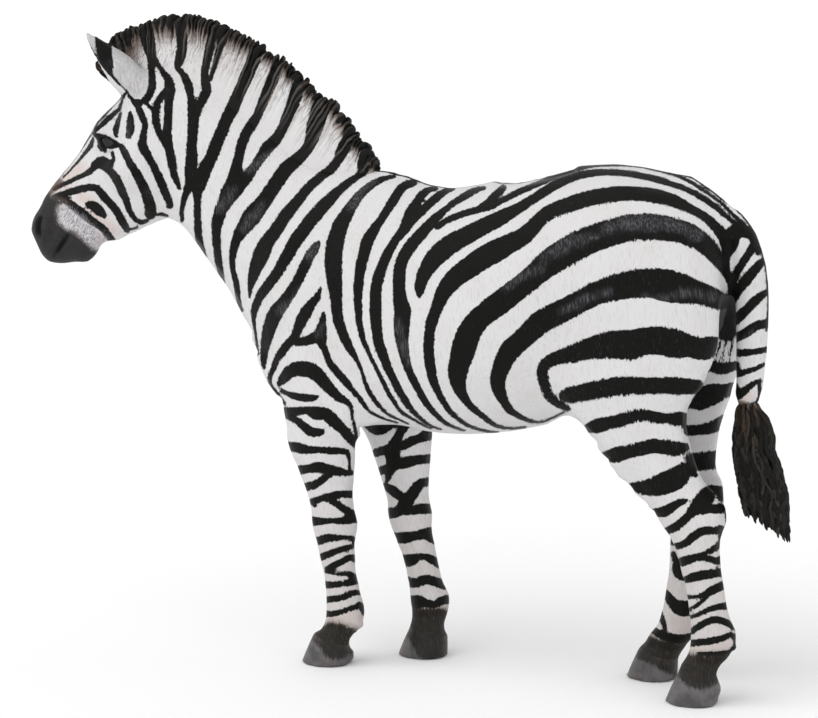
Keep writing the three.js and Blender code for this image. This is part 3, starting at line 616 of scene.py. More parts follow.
        (682, 561, 9), (691, 558, 8), (700, 555, 6), (708, 551, 5), (715, 547, 6), (720, 542, 4),
    )),
    Stroke("hind_1_fork", ((700, 557, 6), (708, 558, 6), (716, 560, 7), (721, 559, 8))),
    Stroke("hind_2", ((685, 579, 6), (695, 576, 9), (704, 574, 9), (712, 573, 8), (722, 571.5, 9))),
    Stroke("hind_3", ((688, 596, 3.5), (696, 596, 3.5), (704, 594, 6), (712, 589.5, 8), (723, 584.5, 8))),
    Stroke("hind_3_fork", ((689, 609, 3.5), (696, 605, 3.5), (702, 600, 3.5), (707, 596, 3))),
    Stroke("hind_4", ((690, 616.5, 3.5), (700, 613, 4), (708, 609, 5), (718, 606, 6), (727, 605, 7))),
    Stroke("hind_5", (
        (691, 631, 5), (697, 626.5, 6), (706, 621.5, 6.5), (714, 619, 6.5), (722, 620, 6.5),
        (729, 623.5, 6), (734, 627, 5),
    )),
    Stroke("hind_6", (
        (690, 642.5, 6.5), (700, 641.5, 6.5), (711, 640, 6), (722, 637.5, 6), (731, 634, 5),
        (735, 638, 5), (736, 644, 5), (732, 650, 6),
    )),
    Stroke("hind_7", ((697, 653.5, 4), (708, 653.5, 5), (720, 653, 5), (729, 651.5, 5))),
    # head
    Stroke("cheek_1", (
        (121, 145.5, 5), (124, 151, 6.5), (129, 161, 7), (134.5, 170, 8), (139.6, 179, 9),
        (143.5, 187, 9.5), (147, 196, 10), (150, 206, 11), (150, 213, 11),
    )),
    Stroke("cheek_2", (
        (129, 94, 4), (133.5, 100, 5), (138, 107, 6), (142, 116, 6.5), (145, 124, 5.5), (143.5, 132, 5.5),
        (142.5, 140, 8), (142.5, 146, 9), (146.5, 153, 8), (152, 163, 7), (158, 175, 8), (163, 187, 8),
        (167, 197, 7), (170, 204, 6), (168, 206, 4),
    )),
    Stroke("brow_tear_1", (
        (120.5, 112, 1.5), (118.5, 118, 3.5), (116.5, 125, 5.5), (115.5, 131, 5), (116, 135, 3),
    )),
    Stroke("brow_tear_2", (
        (130, 112, 3), (130, 119, 6.5), (130, 127, 8), (129, 133, 7), (128, 136.5, 4),
    )),
    Stroke("forehead_1", (
        (126, 92, 2), (122, 99, 2), (119.5, 107, 3), (115, 112, 4), (108, 118, 4.5), (102, 123.5, 4.5),
        (97, 128, 3.5), (93, 132.5, 3),
    )),
    Stroke("forehead_edge", (
        (124, 93, 1.4), (118, 99, 1.4), (111, 107, 1.4), (104, 115, 1.4), (97, 123, 1.4),
        (93.5, 131, 1.6),
    )),
    Stroke("eye_patch", (
        (94.4, 133.8, 3), (99, 136.4, 6.5), (104, 140, 11.5), (108.5, 142.4, 11), (113, 143.4, 8.5),
        (118, 144.2, 4),
    )),
    Stroke("eye_patch_low", ((99.5, 141, 5), (102, 146.2, 7.4), (104.8, 149.4, 4))),
    Stroke("nose_side", (
        (92.5, 138, 2.4), (90.6, 144.5, 4), (86.2, 150.5, 3.4), (81, 157, 2.4), (75, 164, 1.7),
        (69, 170.5, 1.4), (63, 176.5, 1.2),
    )),
    Stroke("nose_edge", ((90.6, 134, 1), (83, 145.5, 1), (74.6, 157, 1), (65, 169, 1), (54.5, 181.5, 1))),
    Stroke("under_eye", (
        (93, 165.5, 6), (97, 162.5, 9), (102, 162, 12.5), (107, 164, 11), (111, 161.5, 5.5),
        (113.2, 158, 3.5), (112, 152, 2.5),
    )),
    Stroke("under_eye_peak", ((101.5, 158, 3), (101, 161, 5))),
    Stroke("face_line", (
        (95, 166.5, 5), (89, 171, 5), (84, 174, 4.5), (77, 177, 4), (70, 180.5, 4), (62, 184, 4),
        (54, 188, 4),
    )),
    Stroke("face_drop", (
        (104, 168, 4), (109, 170, 7), (114, 175, 8), (118, 182, 8), (121.5, 190, 8), (125, 198, 7),
        (128, 206, 5.5), (131, 213, 5), (135.5, 219, 4.5), (141, 221.5, 4.5), (147, 220, 3),
    )),
    Stroke("face_band", (
        (55, 196, 6), (62, 194, 6), (69, 191.5, 6), (76, 189.5, 7), (84, 187.5, 7), (92, 186.5, 6.5),
        (97.5, 188.5, 7), (102, 194, 7.5), (107.5, 200, 7.5), (113, 206, 7.5), (118, 213, 7.5),
        (122, 221, 8), (127, 229, 6),
    )),
    Stroke("face_spot", ((88, 203.5, 6), (93, 205, 9), (98.5, 209.5, 9.5), (104, 215, 5))),
    Stroke("jaw_band", (
        (62, 198, 6), (68, 201.5, 7), (75, 207, 8), (82, 212.5, 8.5), (89, 218, 8), (96, 223, 7),
        (102.5, 227.5, 7), (107.5, 234, 7), (112, 240, 6),
    )),
    Stroke("jaw_fleck", ((133, 228, 2), (137, 226.5, 2))),
    Stroke("throat_line", ((154, 214, 1.6), (161, 213.5, 3), (167, 215, 2))),
))

FAR_FORE_MARKS = Marks((
    Stroke("far_fore_1", (
        (366, 425, 4), (372, 428, 8), (378, 429, 10), (385, 428, 8), (391, 425, 5), (398, 424, 5),
        (405, 423.5, 6), (413, 422.5, 3),
    )),
    Stroke("far_fore_stem", (
        (405, 424, 9), (399, 433, 8), (394, 442, 9), (392, 450, 14), (393, 460, 14), (391, 467, 11),
        (388, 475, 6), (386, 482, 3),
    )),
    Stroke("far_fore_2", ((396, 446, 9), (404, 444, 9), (412, 440, 9), (418, 438, 8), (427, 434, 12))),
    Stroke("far_fore_2_front", ((376, 452, 8), (386, 449, 9), (393, 448, 10))),
    Stroke("far_fore_3", ((396, 463, 10), (404, 462, 11), (412, 460, 10), (419, 459, 9), (428, 458, 9))),
    Stroke("far_fore_3_front", ((381, 470, 8), (389, 467, 8))),
    Stroke("far_fore_4", (
        (427, 481, 8), (420, 483, 9), (415, 489, 11), (409, 497, 12), (404, 505, 12), (397, 511, 10),
        (386, 513, 11),
    )),
    Stroke("far_fore_4_fork", ((384, 485, 4), (391, 489, 9), (398, 494, 9), (404, 499, 9))),
    Stroke("far_fore_5", ((406, 510, 9), (414, 509, 9), (422, 508, 10), (433, 508, 9))),
    Stroke("far_fore_6", (
        (393, 536, 8), (403, 537, 11), (411, 536, 9), (419, 534, 9), (427, 533, 12), (434, 535, 16),
    )),
    Stroke("far_fore_7", (
        (403, 560, 12), (412, 559, 11), (419, 556, 6), (425, 556, 6), (432, 559, 8), (439, 564, 7),
    )),
    Stroke("far_fore_8", ((407, 581, 10), (416, 582, 9), (424, 579, 9), (432, 580, 9), (443, 584, 9))),
    Stroke("far_fore_9", (
        (408, 602, 13), (418, 601, 13), (425, 602, 8), (434, 604, 7), (441, 600, 8), (450, 598, 9),
    )),
))

FAR_HIND_MARKS = Marks((
    # Painted shadow: black in the gap between the far haunch and the tail.
    Stroke("far_haunch", (
        (729.5, 284, 6), (728, 296, 16), (727, 310, 19), (727, 322, 19), (727, 331, 17),
    )),
    Stroke("far_lock_1", ((721, 338, 1.4), (718.5, 347, 1.2), (716, 355, 0.8))),
    Stroke("far_lock_2", ((727, 337, 1.4), (724.5, 347, 1.2), (721, 358, 0.8))),
    Stroke("far_lock_3", ((732, 338, 1.2), (731, 346, 1), (728, 357, 0.8))),
    Stroke("far_thigh_1", (
        (640, 366, 11), (680, 368, 12), (709, 365, 11), (716, 367, 11), (724, 367.5, 11.5),
        (732, 365.5, 9), (740, 365, 8),
    )),
    Stroke("far_thigh_2", (
        (640, 398, 12), (680, 399, 14), (699, 401, 16), (706, 396, 21), (714, 393, 20), (722, 391, 14),
        (732, 388.5, 13), (740, 388, 12),
    )),
    Stroke("far_thigh_3", (
        (610, 428, 12), (650, 430, 12), (686, 430, 10), (697, 429, 10), (709, 427.5, 11), (717, 424, 12),
        (725, 420, 13),
    )),
    Stroke("far_thigh_4", (
        (620, 456, 12), (660, 460, 13), (688, 461, 15), (697, 461, 18), (707, 460, 18), (720, 458, 17),
    )),
    Stroke("far_gaskin_1", (
        (650, 490, 9), (680, 490, 9), (703, 489.5, 8), (711, 490, 11), (722, 493, 14), (736, 495, 12),
    )),
    Stroke("far_gaskin_2", ((650, 516, 8), (676, 518, 8), (700, 519, 8), (714, 520, 8), (730, 521, 8))),
    Stroke("far_hock", ((660, 540, 7), (680, 541, 7), (702, 541, 7), (720, 541, 7))),
    Stroke("far_hind_1", (
        (673, 553, 5), (676, 562, 7), (678, 571, 11), (684, 576, 8), (694, 576, 8), (710, 575, 8),
    )),
    Stroke("far_hind_2", (
        (666, 591, 4), (668, 596, 8), (674, 603.5, 11), (681, 607.5, 15), (689, 607.5, 15),
        (695, 607, 14), (710, 606, 11),
    )),
    Stroke("far_hind_3", ((660, 611, 4), (662, 619, 5), (665, 628, 4))),
    Stroke("far_hind_4", (
        (653, 629.5, 6), (660, 633.5, 8), (669, 637, 9), (678, 638.5, 9), (686, 637.5, 9), (694, 636, 8),
        (708, 634, 8),
    )),
))

TAIL_MARKS = Marks((
    Stroke("tail_root", (
        (735, 215, 2.4), (741, 224, 7), (745, 230, 10), (750, 234.5, 9), (754, 239, 8), (757, 246, 7),
        (758, 252, 5),
    )),
    Stroke("dock_cap", ((736, 229, 8), (741, 231.5, 9), (746, 232, 9))),
    Stroke("tail_1", (
        (730.3, 286, 5), (733.5, 277.5, 7.5), (739, 267.5, 7.5), (746.5, 255.5, 7.5), (751.5, 248, 8),
        (754, 243, 8),
    )),
    Stroke("tail_2", (
        (763, 259.5, 5), (759, 264, 8), (752, 272, 9.5), (744.5, 281, 10), (737, 290, 10), (731, 300, 9),
        (729, 305, 7),
    )),
    Stroke("tail_3", (
        (769, 291, 5), (762, 294, 7), (754, 301, 9), (747, 308, 9), (740, 315, 10), (733, 321, 9),
        (729, 325, 6),
    )),
    Stroke("tail_4", (
        (769, 323, 7), (760, 323.8, 8.5), (753, 327, 9), (746, 331.5, 9), (740, 335, 9), (734, 338, 8),
    )),
    Stroke("tail_5", ((767, 348.5, 5.5), (754, 351, 5.5), (742, 352, 7), (732, 352, 7))),
    Stroke("tail_6", (
        (764, 363.5, 3.5), (758, 366.5, 4), (752, 369, 4.5), (744, 371.5, 5.5), (737, 373, 7),
        (731, 374, 6),
    )),
    Stroke("tail_7", ((760, 380, 4), (753, 383, 4.5), (746, 388.5, 6.5), (740, 393, 8), (735, 396, 9))),
    Stroke("tail_8", (
        (758.5, 381, 3), (759.5, 392, 3.4), (758.5, 401, 5), (752, 406, 7), (744, 411, 6), (737, 413, 5),
    )),
    Stroke("tail_edge", (
        (757, 240, 2), (762, 253, 2), (765.5, 268, 2), (767.5, 288, 2), (768, 308, 2), (766, 330, 1.6),
    )),
))

EAR_PATCH = Patch("ear", (
    (83, 27), (90, 29), (103, 39), (111, 43), (122, 48.5), (135, 54), (146, 61), (149.5, 70), (150, 86),
    (147, 96), (141, 100), (134, 98), (128, 93), (118, 85), (108, 74), (98, 62), (88, 50), (80, 38),
))
EAR_MARKS = Marks((
    Stroke("ear_band", ((103, 30, 15), (103, 40, 15.5), (104, 52, 14.5), (106, 64, 13), (108, 74, 8))),
    Stroke("ear_rim", ((106, 68, 6), (112, 76, 3.4), (119, 84, 2.2), (127, 92, 2))),
    Stroke("ear_rear", (
        (149, 54, 3), (150.5, 61, 5), (151.8, 70, 6.4), (152, 78, 6.8), (151.2, 87, 6.6), (148, 94, 5.4),
        (144.5, 99, 4),
    )),
    Stroke("ear_tip_rim", ((86, 40, 1.4), (92, 50, 1.6), (98, 59, 2))),
))
MUZZLE_PATCH = Patch("muzzle", (
    (30, 183), (45, 188), (52, 195), (60, 199), (67, 202), (60, 205), (56, 212), (59, 222), (66, 229),
    (75, 232), (82, 238), (90, 246), (98, 251), (98, 258), (94, 266), (60, 270), (28, 252), (22, 205),
))
FROST_PATCH = Patch("frost", (
    (60, 207), (66, 206), (73, 210), (81, 216), (89, 223.5), (97, 231), (106, 238), (99, 245), (92, 245),
    (85, 237), (77, 230), (69, 226), (63, 219), (58, 212),
))
NEAR_FEET = (
    Patch("fore_foot", (
        (326, 624), (331, 622), (341, 624), (352, 628), (362, 631), (366, 645), (353, 652), (346, 658),
        (335, 660), (326, 657), (320, 648), (313, 641), (300, 638), (308, 630),
    )),
    Patch("hind_foot", (
        (684, 653), (694, 654), (708, 654.5), (720, 653.5), (734, 652), (742, 653), (742, 690),
        (719, 683), (711, 687), (700, 690), (690, 687), (683, 682), (676, 675), (668, 671), (676, 658),
    )),
)
FAR_FEET = (
    Patch("far_fore_foot", (
        (404, 608), (414, 606.5), (424, 608), (434, 607), (446, 609), (458, 616), (458, 668), (430, 663),
        (419, 657), (413, 647), (407, 637), (395, 632), (395, 619),
    )),
    Patch("far_hind_foot", (
        (638, 631.5), (650, 635), (662, 639.5), (676, 643), (690, 641), (698, 646), (698, 690),
        (676, 677), (663, 671), (651, 664), (641, 660), (634, 657), (628, 650),
    )),
)
UMBER_MARKS = Marks((
    Stroke("nose_bridge", ((45, 193, 8), (52, 187, 9), (60, 180, 5))),
    Stroke("nose_wash", ((50, 203, 7), (53, 212, 6), (54, 222, 4))),
    Stroke("hind_ankle", ((697, 659, 4), (712, 660, 6), (724, 658, 4))),
    Stroke("far_hind_ankle", ((650, 641, 6), (662, 645, 7), (674, 647, 5))),
    Stroke("far_fore_ankle", ((412, 613, 5), (430, 613, 5), (441, 611, 5))),
    Stroke("fore_ankle", ((330, 624, 4), (343, 627, 5))),
    Stroke("tail_end", ((738, 402, 5), (744, 404, 6))),
))
ROSE_MARKS = Marks((
    Stroke("nose_side", ((62, 184, 6), (70, 177, 9), (80, 167, 8))),
    Stroke("nose_low", ((62, 190, 5), (72, 188, 5))),
    Stroke("lip_side", ((80, 196, 8), (92, 203, 10), (90, 212, 8), (104, 222, 8), (112, 230, 8))),
    Stroke("chin_side", ((98, 236, 8), (108, 240, 8))),
    Stroke("fore_fetlock", ((332, 619, 6), (345, 618, 10), (358, 617, 9))),
    Stroke("hind_fetlock", ((694, 647, 6), (712, 646, 8), (726, 644, 7))),
    Stroke("far_shank", ((675, 622, 12), (684, 624, 12))),
    Stroke("dock_foot", ((738, 398, 6), (748, 396, 7))),
))


# Painted shade: near-black in the nostril, along the mouth and in the gap between the far haunch and the
# tail.
PAINTED_SHADE_MARKS = Marks((
    Stroke("nostril", ((40.5, 216.5, 1.4), (38.2, 221, 3), (37.6, 227, 3.4), (38.6, 232, 2.4))),
    Stroke("mouth", ((67, 235, 0.8), (64, 240, 1.8), (60.5, 245, 2), (57.5, 250, 1.4))),
    Stroke("tail_gap", (
        (730, 284, 8), (728, 296, 18), (726.5, 310, 21), (726.5, 322, 21), (727, 331, 18),
    )),
))
WEAR_MARKS = Marks((
    Stroke("haunch_top", (
        (604, 229, 8), (624, 222, 12), (644, 222, 16), (664, 223, 14), (684, 228, 10), (698, 236, 8),
    )),
    Stroke("haunch_front", ((545, 258, 8), (560, 246, 12), (578, 240, 10), (596, 236, 6))),
    Stroke("flank", ((505, 288, 5), (522, 275, 8), (540, 268, 6))),
    Stroke("flank_2", ((560, 310, 4), (575, 305, 7), (592, 296, 6), (610, 291, 4))),
    Stroke("haunch_mid", ((640, 296, 2), (662, 298, 6), (690, 292, 6), (712, 297, 8))),
    Stroke("shoulder_top", ((352, 206, 7), (358, 192, 8), (372, 180, 6))),
    Stroke("neck_low", ((219, 208, 8), (226, 198, 10), (234, 188, 6))),
    Stroke("neck_mid", ((244, 226, 8), (252, 216, 10), (262, 205, 5))),
    Stroke("neck_high", ((250, 168, 8), (262, 160, 11), (276, 152, 8))),
    Stroke("shoulder_low", ((280, 312, 6), (290, 302, 8), (300, 290, 5))),
    Stroke("shoulder_mid", ((308, 258, 6), (314, 248, 8), (318, 243, 4))),
    Stroke("breast", ((318, 334, 5), (322, 326, 5))),
    Stroke("barrel", ((398, 320, 5), (402, 342, 7), (408, 362, 4))),
    Stroke("cheek", ((120, 118, 3), (124, 132, 6), (128, 148, 3))),
    Stroke("tuft_side", ((738, 345, 2), (752, 330, 2))),
))


# ---------------------------------------------------------------- moulded relief
EYE_OPENING = Patch("eye_opening", (
    (99.8, 138.0), (103.5, 137.6), (108.0, 138.6), (112.0, 140.8), (114.6, 143.4), (113.0, 145.2),
    (109.5, 147.0), (105.4, 147.6), (102.8, 145.6), (101.0, 142.0),
))
RELIEFS = (
    Relief(-0.16, Stroke("upper_lid_crease", (
        (95, 134.5, 1.6), (101, 133.2, 2.2), (108, 134.6, 2.4), (114, 138.4, 2.2), (118, 142.4, 1.4),
    ))),
    Relief(0.14, Stroke("lower_lid_rim", (
        (98.6, 139, 1.6), (100.6, 144, 2.2), (104, 149.4, 2.4), (109.5, 148.6, 2.2), (114.5, 146, 1.6),
    ))),
    Relief(-0.12, Stroke("lower_lid_crease", (
        (97, 144, 1.6), (100.5, 149.6, 2.2), (105.5, 152.6, 2.4), (112, 151, 1.6),
    ))),
    Relief(0.16, Stroke("brow", ((92, 129, 5), (102, 128.5, 8), (113, 132.5, 8), (121, 139, 5)))),
    Relief(-0.95, Stroke("nostril", (
        (40.5, 216.5, 2.4), (38.2, 221, 4.2), (37.4, 227, 4.8), (38.4, 233, 3.8), (40.5, 236.5, 2),
    )), Reach.WIDE),
    Relief(0.3, Stroke("nostril_rim", (
        (41, 211.5, 3), (45.5, 216, 5), (46.5, 224, 5.4), (45.5, 232, 5), (42.5, 238.5, 3),
    )), Reach.WIDE),
    Relief(-0.2, Stroke("nostril_fold", (
        (48.5, 206, 3), (53.5, 213, 5), (54.5, 223, 5), (51.5, 232, 4),
    )), Reach.WIDE),
    Relief(-0.42, Stroke("mouth", (
        (69.5, 231, 1.6), (66.5, 236, 3.4), (63, 241, 4), (59.8, 246, 4), (56.5, 251, 3.4),
        (53.5, 256, 2.4),
    ))),
    Relief(0.2, Stroke("upper_lip", ((62, 229, 4), (57.5, 237, 6.4), (52.5, 245, 6.4), (47.5, 252, 5)))),
    Relief(0.22, Stroke("lower_lip", ((74, 234, 4), (69.5, 242, 6.4), (64, 250, 6.4), (60, 256, 5)))),
    Relief(0.14, Stroke("face_crest", ((113, 156, 4), (104, 172, 7), (94, 187, 7), (84, 199, 4)))),
    Relief(-0.18, Stroke("cheek_edge", (
        (158, 120, 5), (163, 150, 8), (163, 180, 9), (155, 205, 8), (138, 222, 5),
    ))),
    Relief(-0.16, Stroke("ear_root", (
        (129, 95, 2), (136, 99.5, 2.6), (143, 102, 2.6), (150, 99, 2.4), (154, 90, 2), (155, 76, 2),
    ))),
    Relief(-0.45, Stroke("belly_rise", (
        (372, 431, 8), (386, 430, 10), (400, 430, 10), (414, 432, 8), (424, 434, 4),
    )), Reach.ROUND),
    Relief(-0.75, Stroke("neck_front", (
        (166, 222, 8), (178, 230, 13), (188, 241, 13), (203, 262, 13), (221, 286, 13), (235, 310, 13),
        (248, 333, 8),
    )), Reach.ROUND),
    Relief(0.65, Stroke("breast_front", (
        (260, 355, 5), (266, 368, 9), (273, 381, 12), (279, 392, 8),
    )), Reach.ROUND),
    Relief(-0.45, Stroke("jaw_line", ((136, 231, 6), (150, 227, 9), (160, 223, 8))), Reach.ROUND),
    Relief(-1.0, Stroke("loin_top", (
        (500, 181, 6), (520, 176, 14), (540, 171, 16), (556, 169, 12), (572, 167, 6),
    )), Reach.ROUND),
    Relief(0.65, Stroke("gaskin_front", (
        (612, 462, 6), (622, 474, 10), (636, 490, 9), (650, 506, 6),
    )), Reach.ROUND),
    Relief(-0.5, Stroke("flank_low", (
        (552, 425, 6), (565, 420, 9), (580, 427, 9), (594, 443, 7),
    )), Reach.ROUND),
    Relief(-0.9, Stroke("armpit", ((361, 429, 6), (366, 431, 8), (373, 430, 7))), Reach.ROUND_LEFT),
    Relief(0.35, Stroke("fore_ergot", ((357, 621, 6), (361, 625, 7), (360, 628, 4))), Reach.ROUND),
    Relief(-0.5, Stroke("fore_pastern_back", ((356, 635, 5), (353, 640, 6), (352, 645, 4))), Reach.ROUND),
    Relief(0.3, Stroke("fore_heel", ((351, 651, 5), (351, 656, 6))), Reach.ROUND),
    Relief(0.3, Stroke("hind_ergot", ((732, 644, 6), (735, 649, 6))), Reach.ROUND),
    Relief(-0.45, Stroke("hind_pastern_back", (
        (729, 660, 4), (723, 667, 6), (719, 674, 5),
    )), Reach.ROUND),
    Relief(0.3, Stroke("hind_heel", ((719, 685, 6), (719, 691, 6))), Reach.ROUND),
    Relief(0.22, Stroke("forearm_muscle", ((312, 392, 10), (318, 412, 16), (320, 434, 12)))),
    Relief(-0.22, Stroke("elbow_fold", ((350, 372, 5), (357, 392, 9), (356, 412, 8), (350, 430, 4)))),
    Relief(-0.2, Stroke("flank_fold", ((548, 372, 6), (556, 390, 10), (566, 408, 8), (576, 420, 4)))),
    Relief(-0.18, Stroke("shoulder_edge", (
        (330, 235, 8), (322, 270, 14), (322, 305, 14), (330, 335, 8),
    ))),
    Relief(-0.16, Stroke("knee_front", ((318, 498, 3), (316, 515, 5), (320, 532, 3))), Reach.LEFT),
    Relief(-0.14, Stroke("fore_tendon", ((346, 548, 2), (346.5, 570, 4), (349, 596, 3))), Reach.LEFT),
    Relief(-0.16, Stroke("hind_tendon", ((708, 552, 2), (713, 580, 4.4), (719, 612, 3))), Reach.LEFT),
    Relief(-0.24, Stroke("achilles", (
        (706, 440, 3), (709, 462, 6), (714, 486, 6), (719, 503, 3),
    )), Reach.LEFT),
    Relief(0.16, Stroke("hock_side", ((700, 508, 6), (706, 522, 9), (708, 536, 6))), Reach.LEFT),
    Relief(-0.14, Stroke("gaskin_line", ((668, 470, 4), (676, 492, 6), (688, 512, 4))), Reach.LEFT),
)



# ---------------------------------------------------------------- mesh tools
SMOOTH_UNDER = 64.0  # edges that turn less than this, in degrees, are shaded smooth
TILE_EDGE = 0.03  # the margin round each tile of a bake map


def activate(obj: bpy.types.Object) -> None:
    """Selects only this object and makes it the active one.

    Args:
        obj: The object.
    """
    if bpy.context.object and bpy.context.object.mode != "OBJECT":
        bpy.ops.object.mode_set(mode="OBJECT")
    bpy.ops.object.select_all(action="DESELECT")
    obj.select_set(True)
    bpy.context.view_layer.objects.active = obj


def apply_modifier(obj: bpy.types.Object, kind: str, **settings) -> None:
    """Adds a modifier and applies it.

    Args:
        obj: The object.
        kind: The modifier's type.
        **settings: Its settings.
    """
    activate(obj)
    modifier = obj.modifiers.new(kind.lower(), kind)
    for key, value in settings.items():
        setattr(modifier, key, value)
    bpy.ops.object.modifier_apply(modifier=modifier.name)


def numbers(
    items: bpy.types.bpy_prop_collection, key: str, width: int = 1, kind: type = np.int32
) -> np.ndarray:
    """Reads one property of every item of a mesh.

    Args:
        items: The mesh's vertices, edges, faces or corners.
        key: The property's name.
        width: How many numbers each item has.
        kind: The numbers' type.

    Returns:
        All the numbers, in one row.
    """
    values = np.empty(len(items) * width, kind)
    items.foreach_get(key, values)
    return values


def to_frame(points: np.ndarray) -> np.ndarray:
    """Returns points in mm on the drawing's axes as metres in the row frame."""
    return (points + CAD_SHIFT) * MM


def places(obj: bpy.types.Object) -> np.ndarray:
    """Returns the vertices in mm on the drawing's axes."""
    co = numbers(obj.data.vertices, "co", 3, np.float32)
    return co.reshape(-1, 3).astype(float) / MM - CAD_SHIFT


def put(obj: bpy.types.Object, points: np.ndarray) -> None:
    """Moves the vertices to points in mm on the drawing's axes."""
    obj.data.vertices.foreach_set("co", to_frame(points).astype(np.float32).ravel())
    obj.data.update()


def normals(obj: bpy.types.Object) -> np.ndarray:
    """Returns the vertices' outward directions."""
    return numbers(obj.data.vertex_normals, "vector", 3, np.float32).reshape(-1, 3).astype(float)


def paint(obj: bpy.types.Object, name: str, values: np.ndarray) -> None:
    """Stores a number for each vertex under this name."""
    found = obj.data.attributes.get(name) or obj.data.attributes.new(name, "FLOAT", "POINT")
    found.data.foreach_set("value", values.astype(np.float32))


def copy_node(name: str) -> bpy.types.Object:
    """Copies a CAD node's mesh and merges its loose triangles.

    Args:
        name: The node's name.

    Returns:
        The copy, free of the frame.
    """
    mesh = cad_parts[name].data.copy()
    mesh.materials.clear()
    copy = bpy.data.objects.new(f"copy_{name}", mesh)
    bpy.context.scene.collection.objects.link(copy)
    activate(copy)
    bpy.ops.object.mode_set(mode="EDIT")
    bpy.ops.mesh.select_all(action="SELECT")
    bpy.ops.mesh.remove_doubles(threshold=1e-6)
    bpy.ops.mesh.normals_make_consistent(inside=False)
    bpy.ops.object.mode_set(mode="OBJECT")
    return copy


def join(objects: list[bpy.types.Object], name: str) -> bpy.types.Object:
    """Joins objects into the first one and names it.

    Args:
        objects: The objects.
        name: The joined object's name.

    Returns:
        The joined object.
    """
    activate(objects[0])
    for obj in objects:
        obj.select_set(True)
    bpy.ops.object.join()
    objects[0].name = name
    objects[0].data.name = name
    return objects[0]


def mesh_object(name: str, points: np.ndarray, faces: list) -> bpy.types.Object:
    """Makes an object from points and faces.

    Args:
        name: The object's name.
        points: n by 3 places in mm, on the drawing's axes.
        faces: Each face's point numbers.

    Returns:
        The object.
    """
    mesh = bpy.data.meshes.new(name)
    mesh.from_pydata(to_frame(points).tolist(), [], faces)
    mesh.validate()
    obj = bpy.data.objects.new(name, mesh)
    bpy.context.scene.collection.objects.link(obj)
    return obj


def relax(
    obj: bpy.types.Object, rounds: int, share: np.ndarray | float = 1.0, back: tuple[float, ...] = (-0.53,)
) -> None:
    """Smooths a mesh.

    Args:
        obj: The mesh object.
        rounds: How many rounds of passes.
        share: How much each vertex takes part, 0 to 1.
        back: The strengths of the passes that push back and keep the volume; none lets the mesh shrink.
    """
    a, b = numbers(obj.data.edges, "vertices", 2).reshape(-1, 2).T
    p = places(obj)
    count = np.bincount(np.concatenate([a, b]), minlength=len(p))[:, None].clip(1)
    weight = np.broadcast_to(np.asarray(share, float).reshape(-1, 1), (len(p), 1))
    for step in (0.5, *back) * rounds:
        sums = [np.bincount(a, p[b, k], len(p)) + np.bincount(b, p[a, k], len(p)) for k in range(3)]
        p = p + step * weight * (np.stack(sums, 1) / count - p)
    put(obj, p)


def refine(obj: bpy.types.Object, near: np.ndarray) -> None:
    """Subdivides the faces whose corners are all chosen.

    Args:
        obj: The mesh.
        near: True for each chosen vertex.
    """
    activate(obj)
    mesh = obj.data
    mesh.vertices.foreach_set("select", np.zeros(len(mesh.vertices), bool))
    mesh.edges.foreach_set("select", np.zeros(len(mesh.edges), bool))
    corners = numbers(mesh.loops, "vertex_index")
    chosen = np.logical_and.reduceat(near[corners], numbers(mesh.polygons, "loop_start"))
    mesh.polygons.foreach_set("select", chosen)
    bpy.ops.object.mode_set(mode="EDIT")
    bpy.ops.mesh.select_mode(type="FACE")
    bpy.ops.mesh.subdivide(number_cuts=1, smoothness=0.0)
    bpy.ops.object.mode_set(mode="OBJECT")


def dress(obj: bpy.types.Object, material: bpy.types.Material, nodes: tuple[str, ...]) -> None:
    """Finishes a piece: smooth shading, material and body.

    Args:
        obj: The piece.
        material: Its material.
        nodes: The CAD nodes it stands for.
    """
    obj.data.materials.clear()
    obj.data.materials.append(material)
    activate(obj)
    bpy.ops.object.shade_smooth_by_angle(angle=math.radians(SMOOTH_UNDER))
    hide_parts(*nodes)
    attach(obj, "root")
    triangles = (numbers(obj.data.polygons, "loop_total") - 2).sum()
    log.info("%s: %d vertices, %d triangles", obj.name, len(obj.data.vertices), triangles)


def mirrored(points: np.ndarray) -> np.ndarray:
    """Returns the points folded onto the zebra's left side."""
    return np.stack([points[:, 0], -np.abs(points[:, 1]), points[:, 2]], 1)


def turned_over(points: np.ndarray) -> np.ndarray:
    """Returns the points folded onto the left side past the line where the back turns away."""
    far = np.interp(points[:, 1], (-90.0, CREST, CREST_FOLD, 90.0), (-90.0, CREST, -CREST_FOLD, -90.0))
    return np.stack([points[:, 0], far, points[:, 2]], 1)


def bake_map(
    obj: bpy.types.Object, across: np.ndarray, along: np.ndarray, cell: np.ndarray | int = 0, cells: int = 1
) -> None:
    """Lays out the map that the colours are baked through, one tile for each tube.

    Args:
        obj: A mesh of closed tubes.
        across: Each vertex's share of the way round its tube, from 0.
        along: Each vertex's share of the way along its tube.
        cell: The number of each vertex's tube.
        cells: How many tiles lie side by side.
    """
    mesh = obj.data
    corners = numbers(mesh.loops, "vertex_index")
    starts = numbers(mesh.polygons, "loop_start")
    u, v = across[corners], along[corners]
    wide = np.maximum.reduceat(u, starts) - np.minimum.reduceat(u, starts) > 0.5
    owner = np.repeat(np.arange(len(starts)), np.diff(np.append(starts, len(corners))))
    u = u + (wide[owner] & (u < 0.5))
    number = np.broadcast_to(cell, across.shape)[corners]
    edge, span = TILE_EDGE, 1.0 - 2 * TILE_EDGE
    uv = np.stack([number % cells + edge + span * u, number // cells + edge + span * v], 1) / cells
    layer = mesh.uv_layers.new(name="OFBake")
    layer.data.foreach_set("uv", uv.astype(np.float32).ravel())


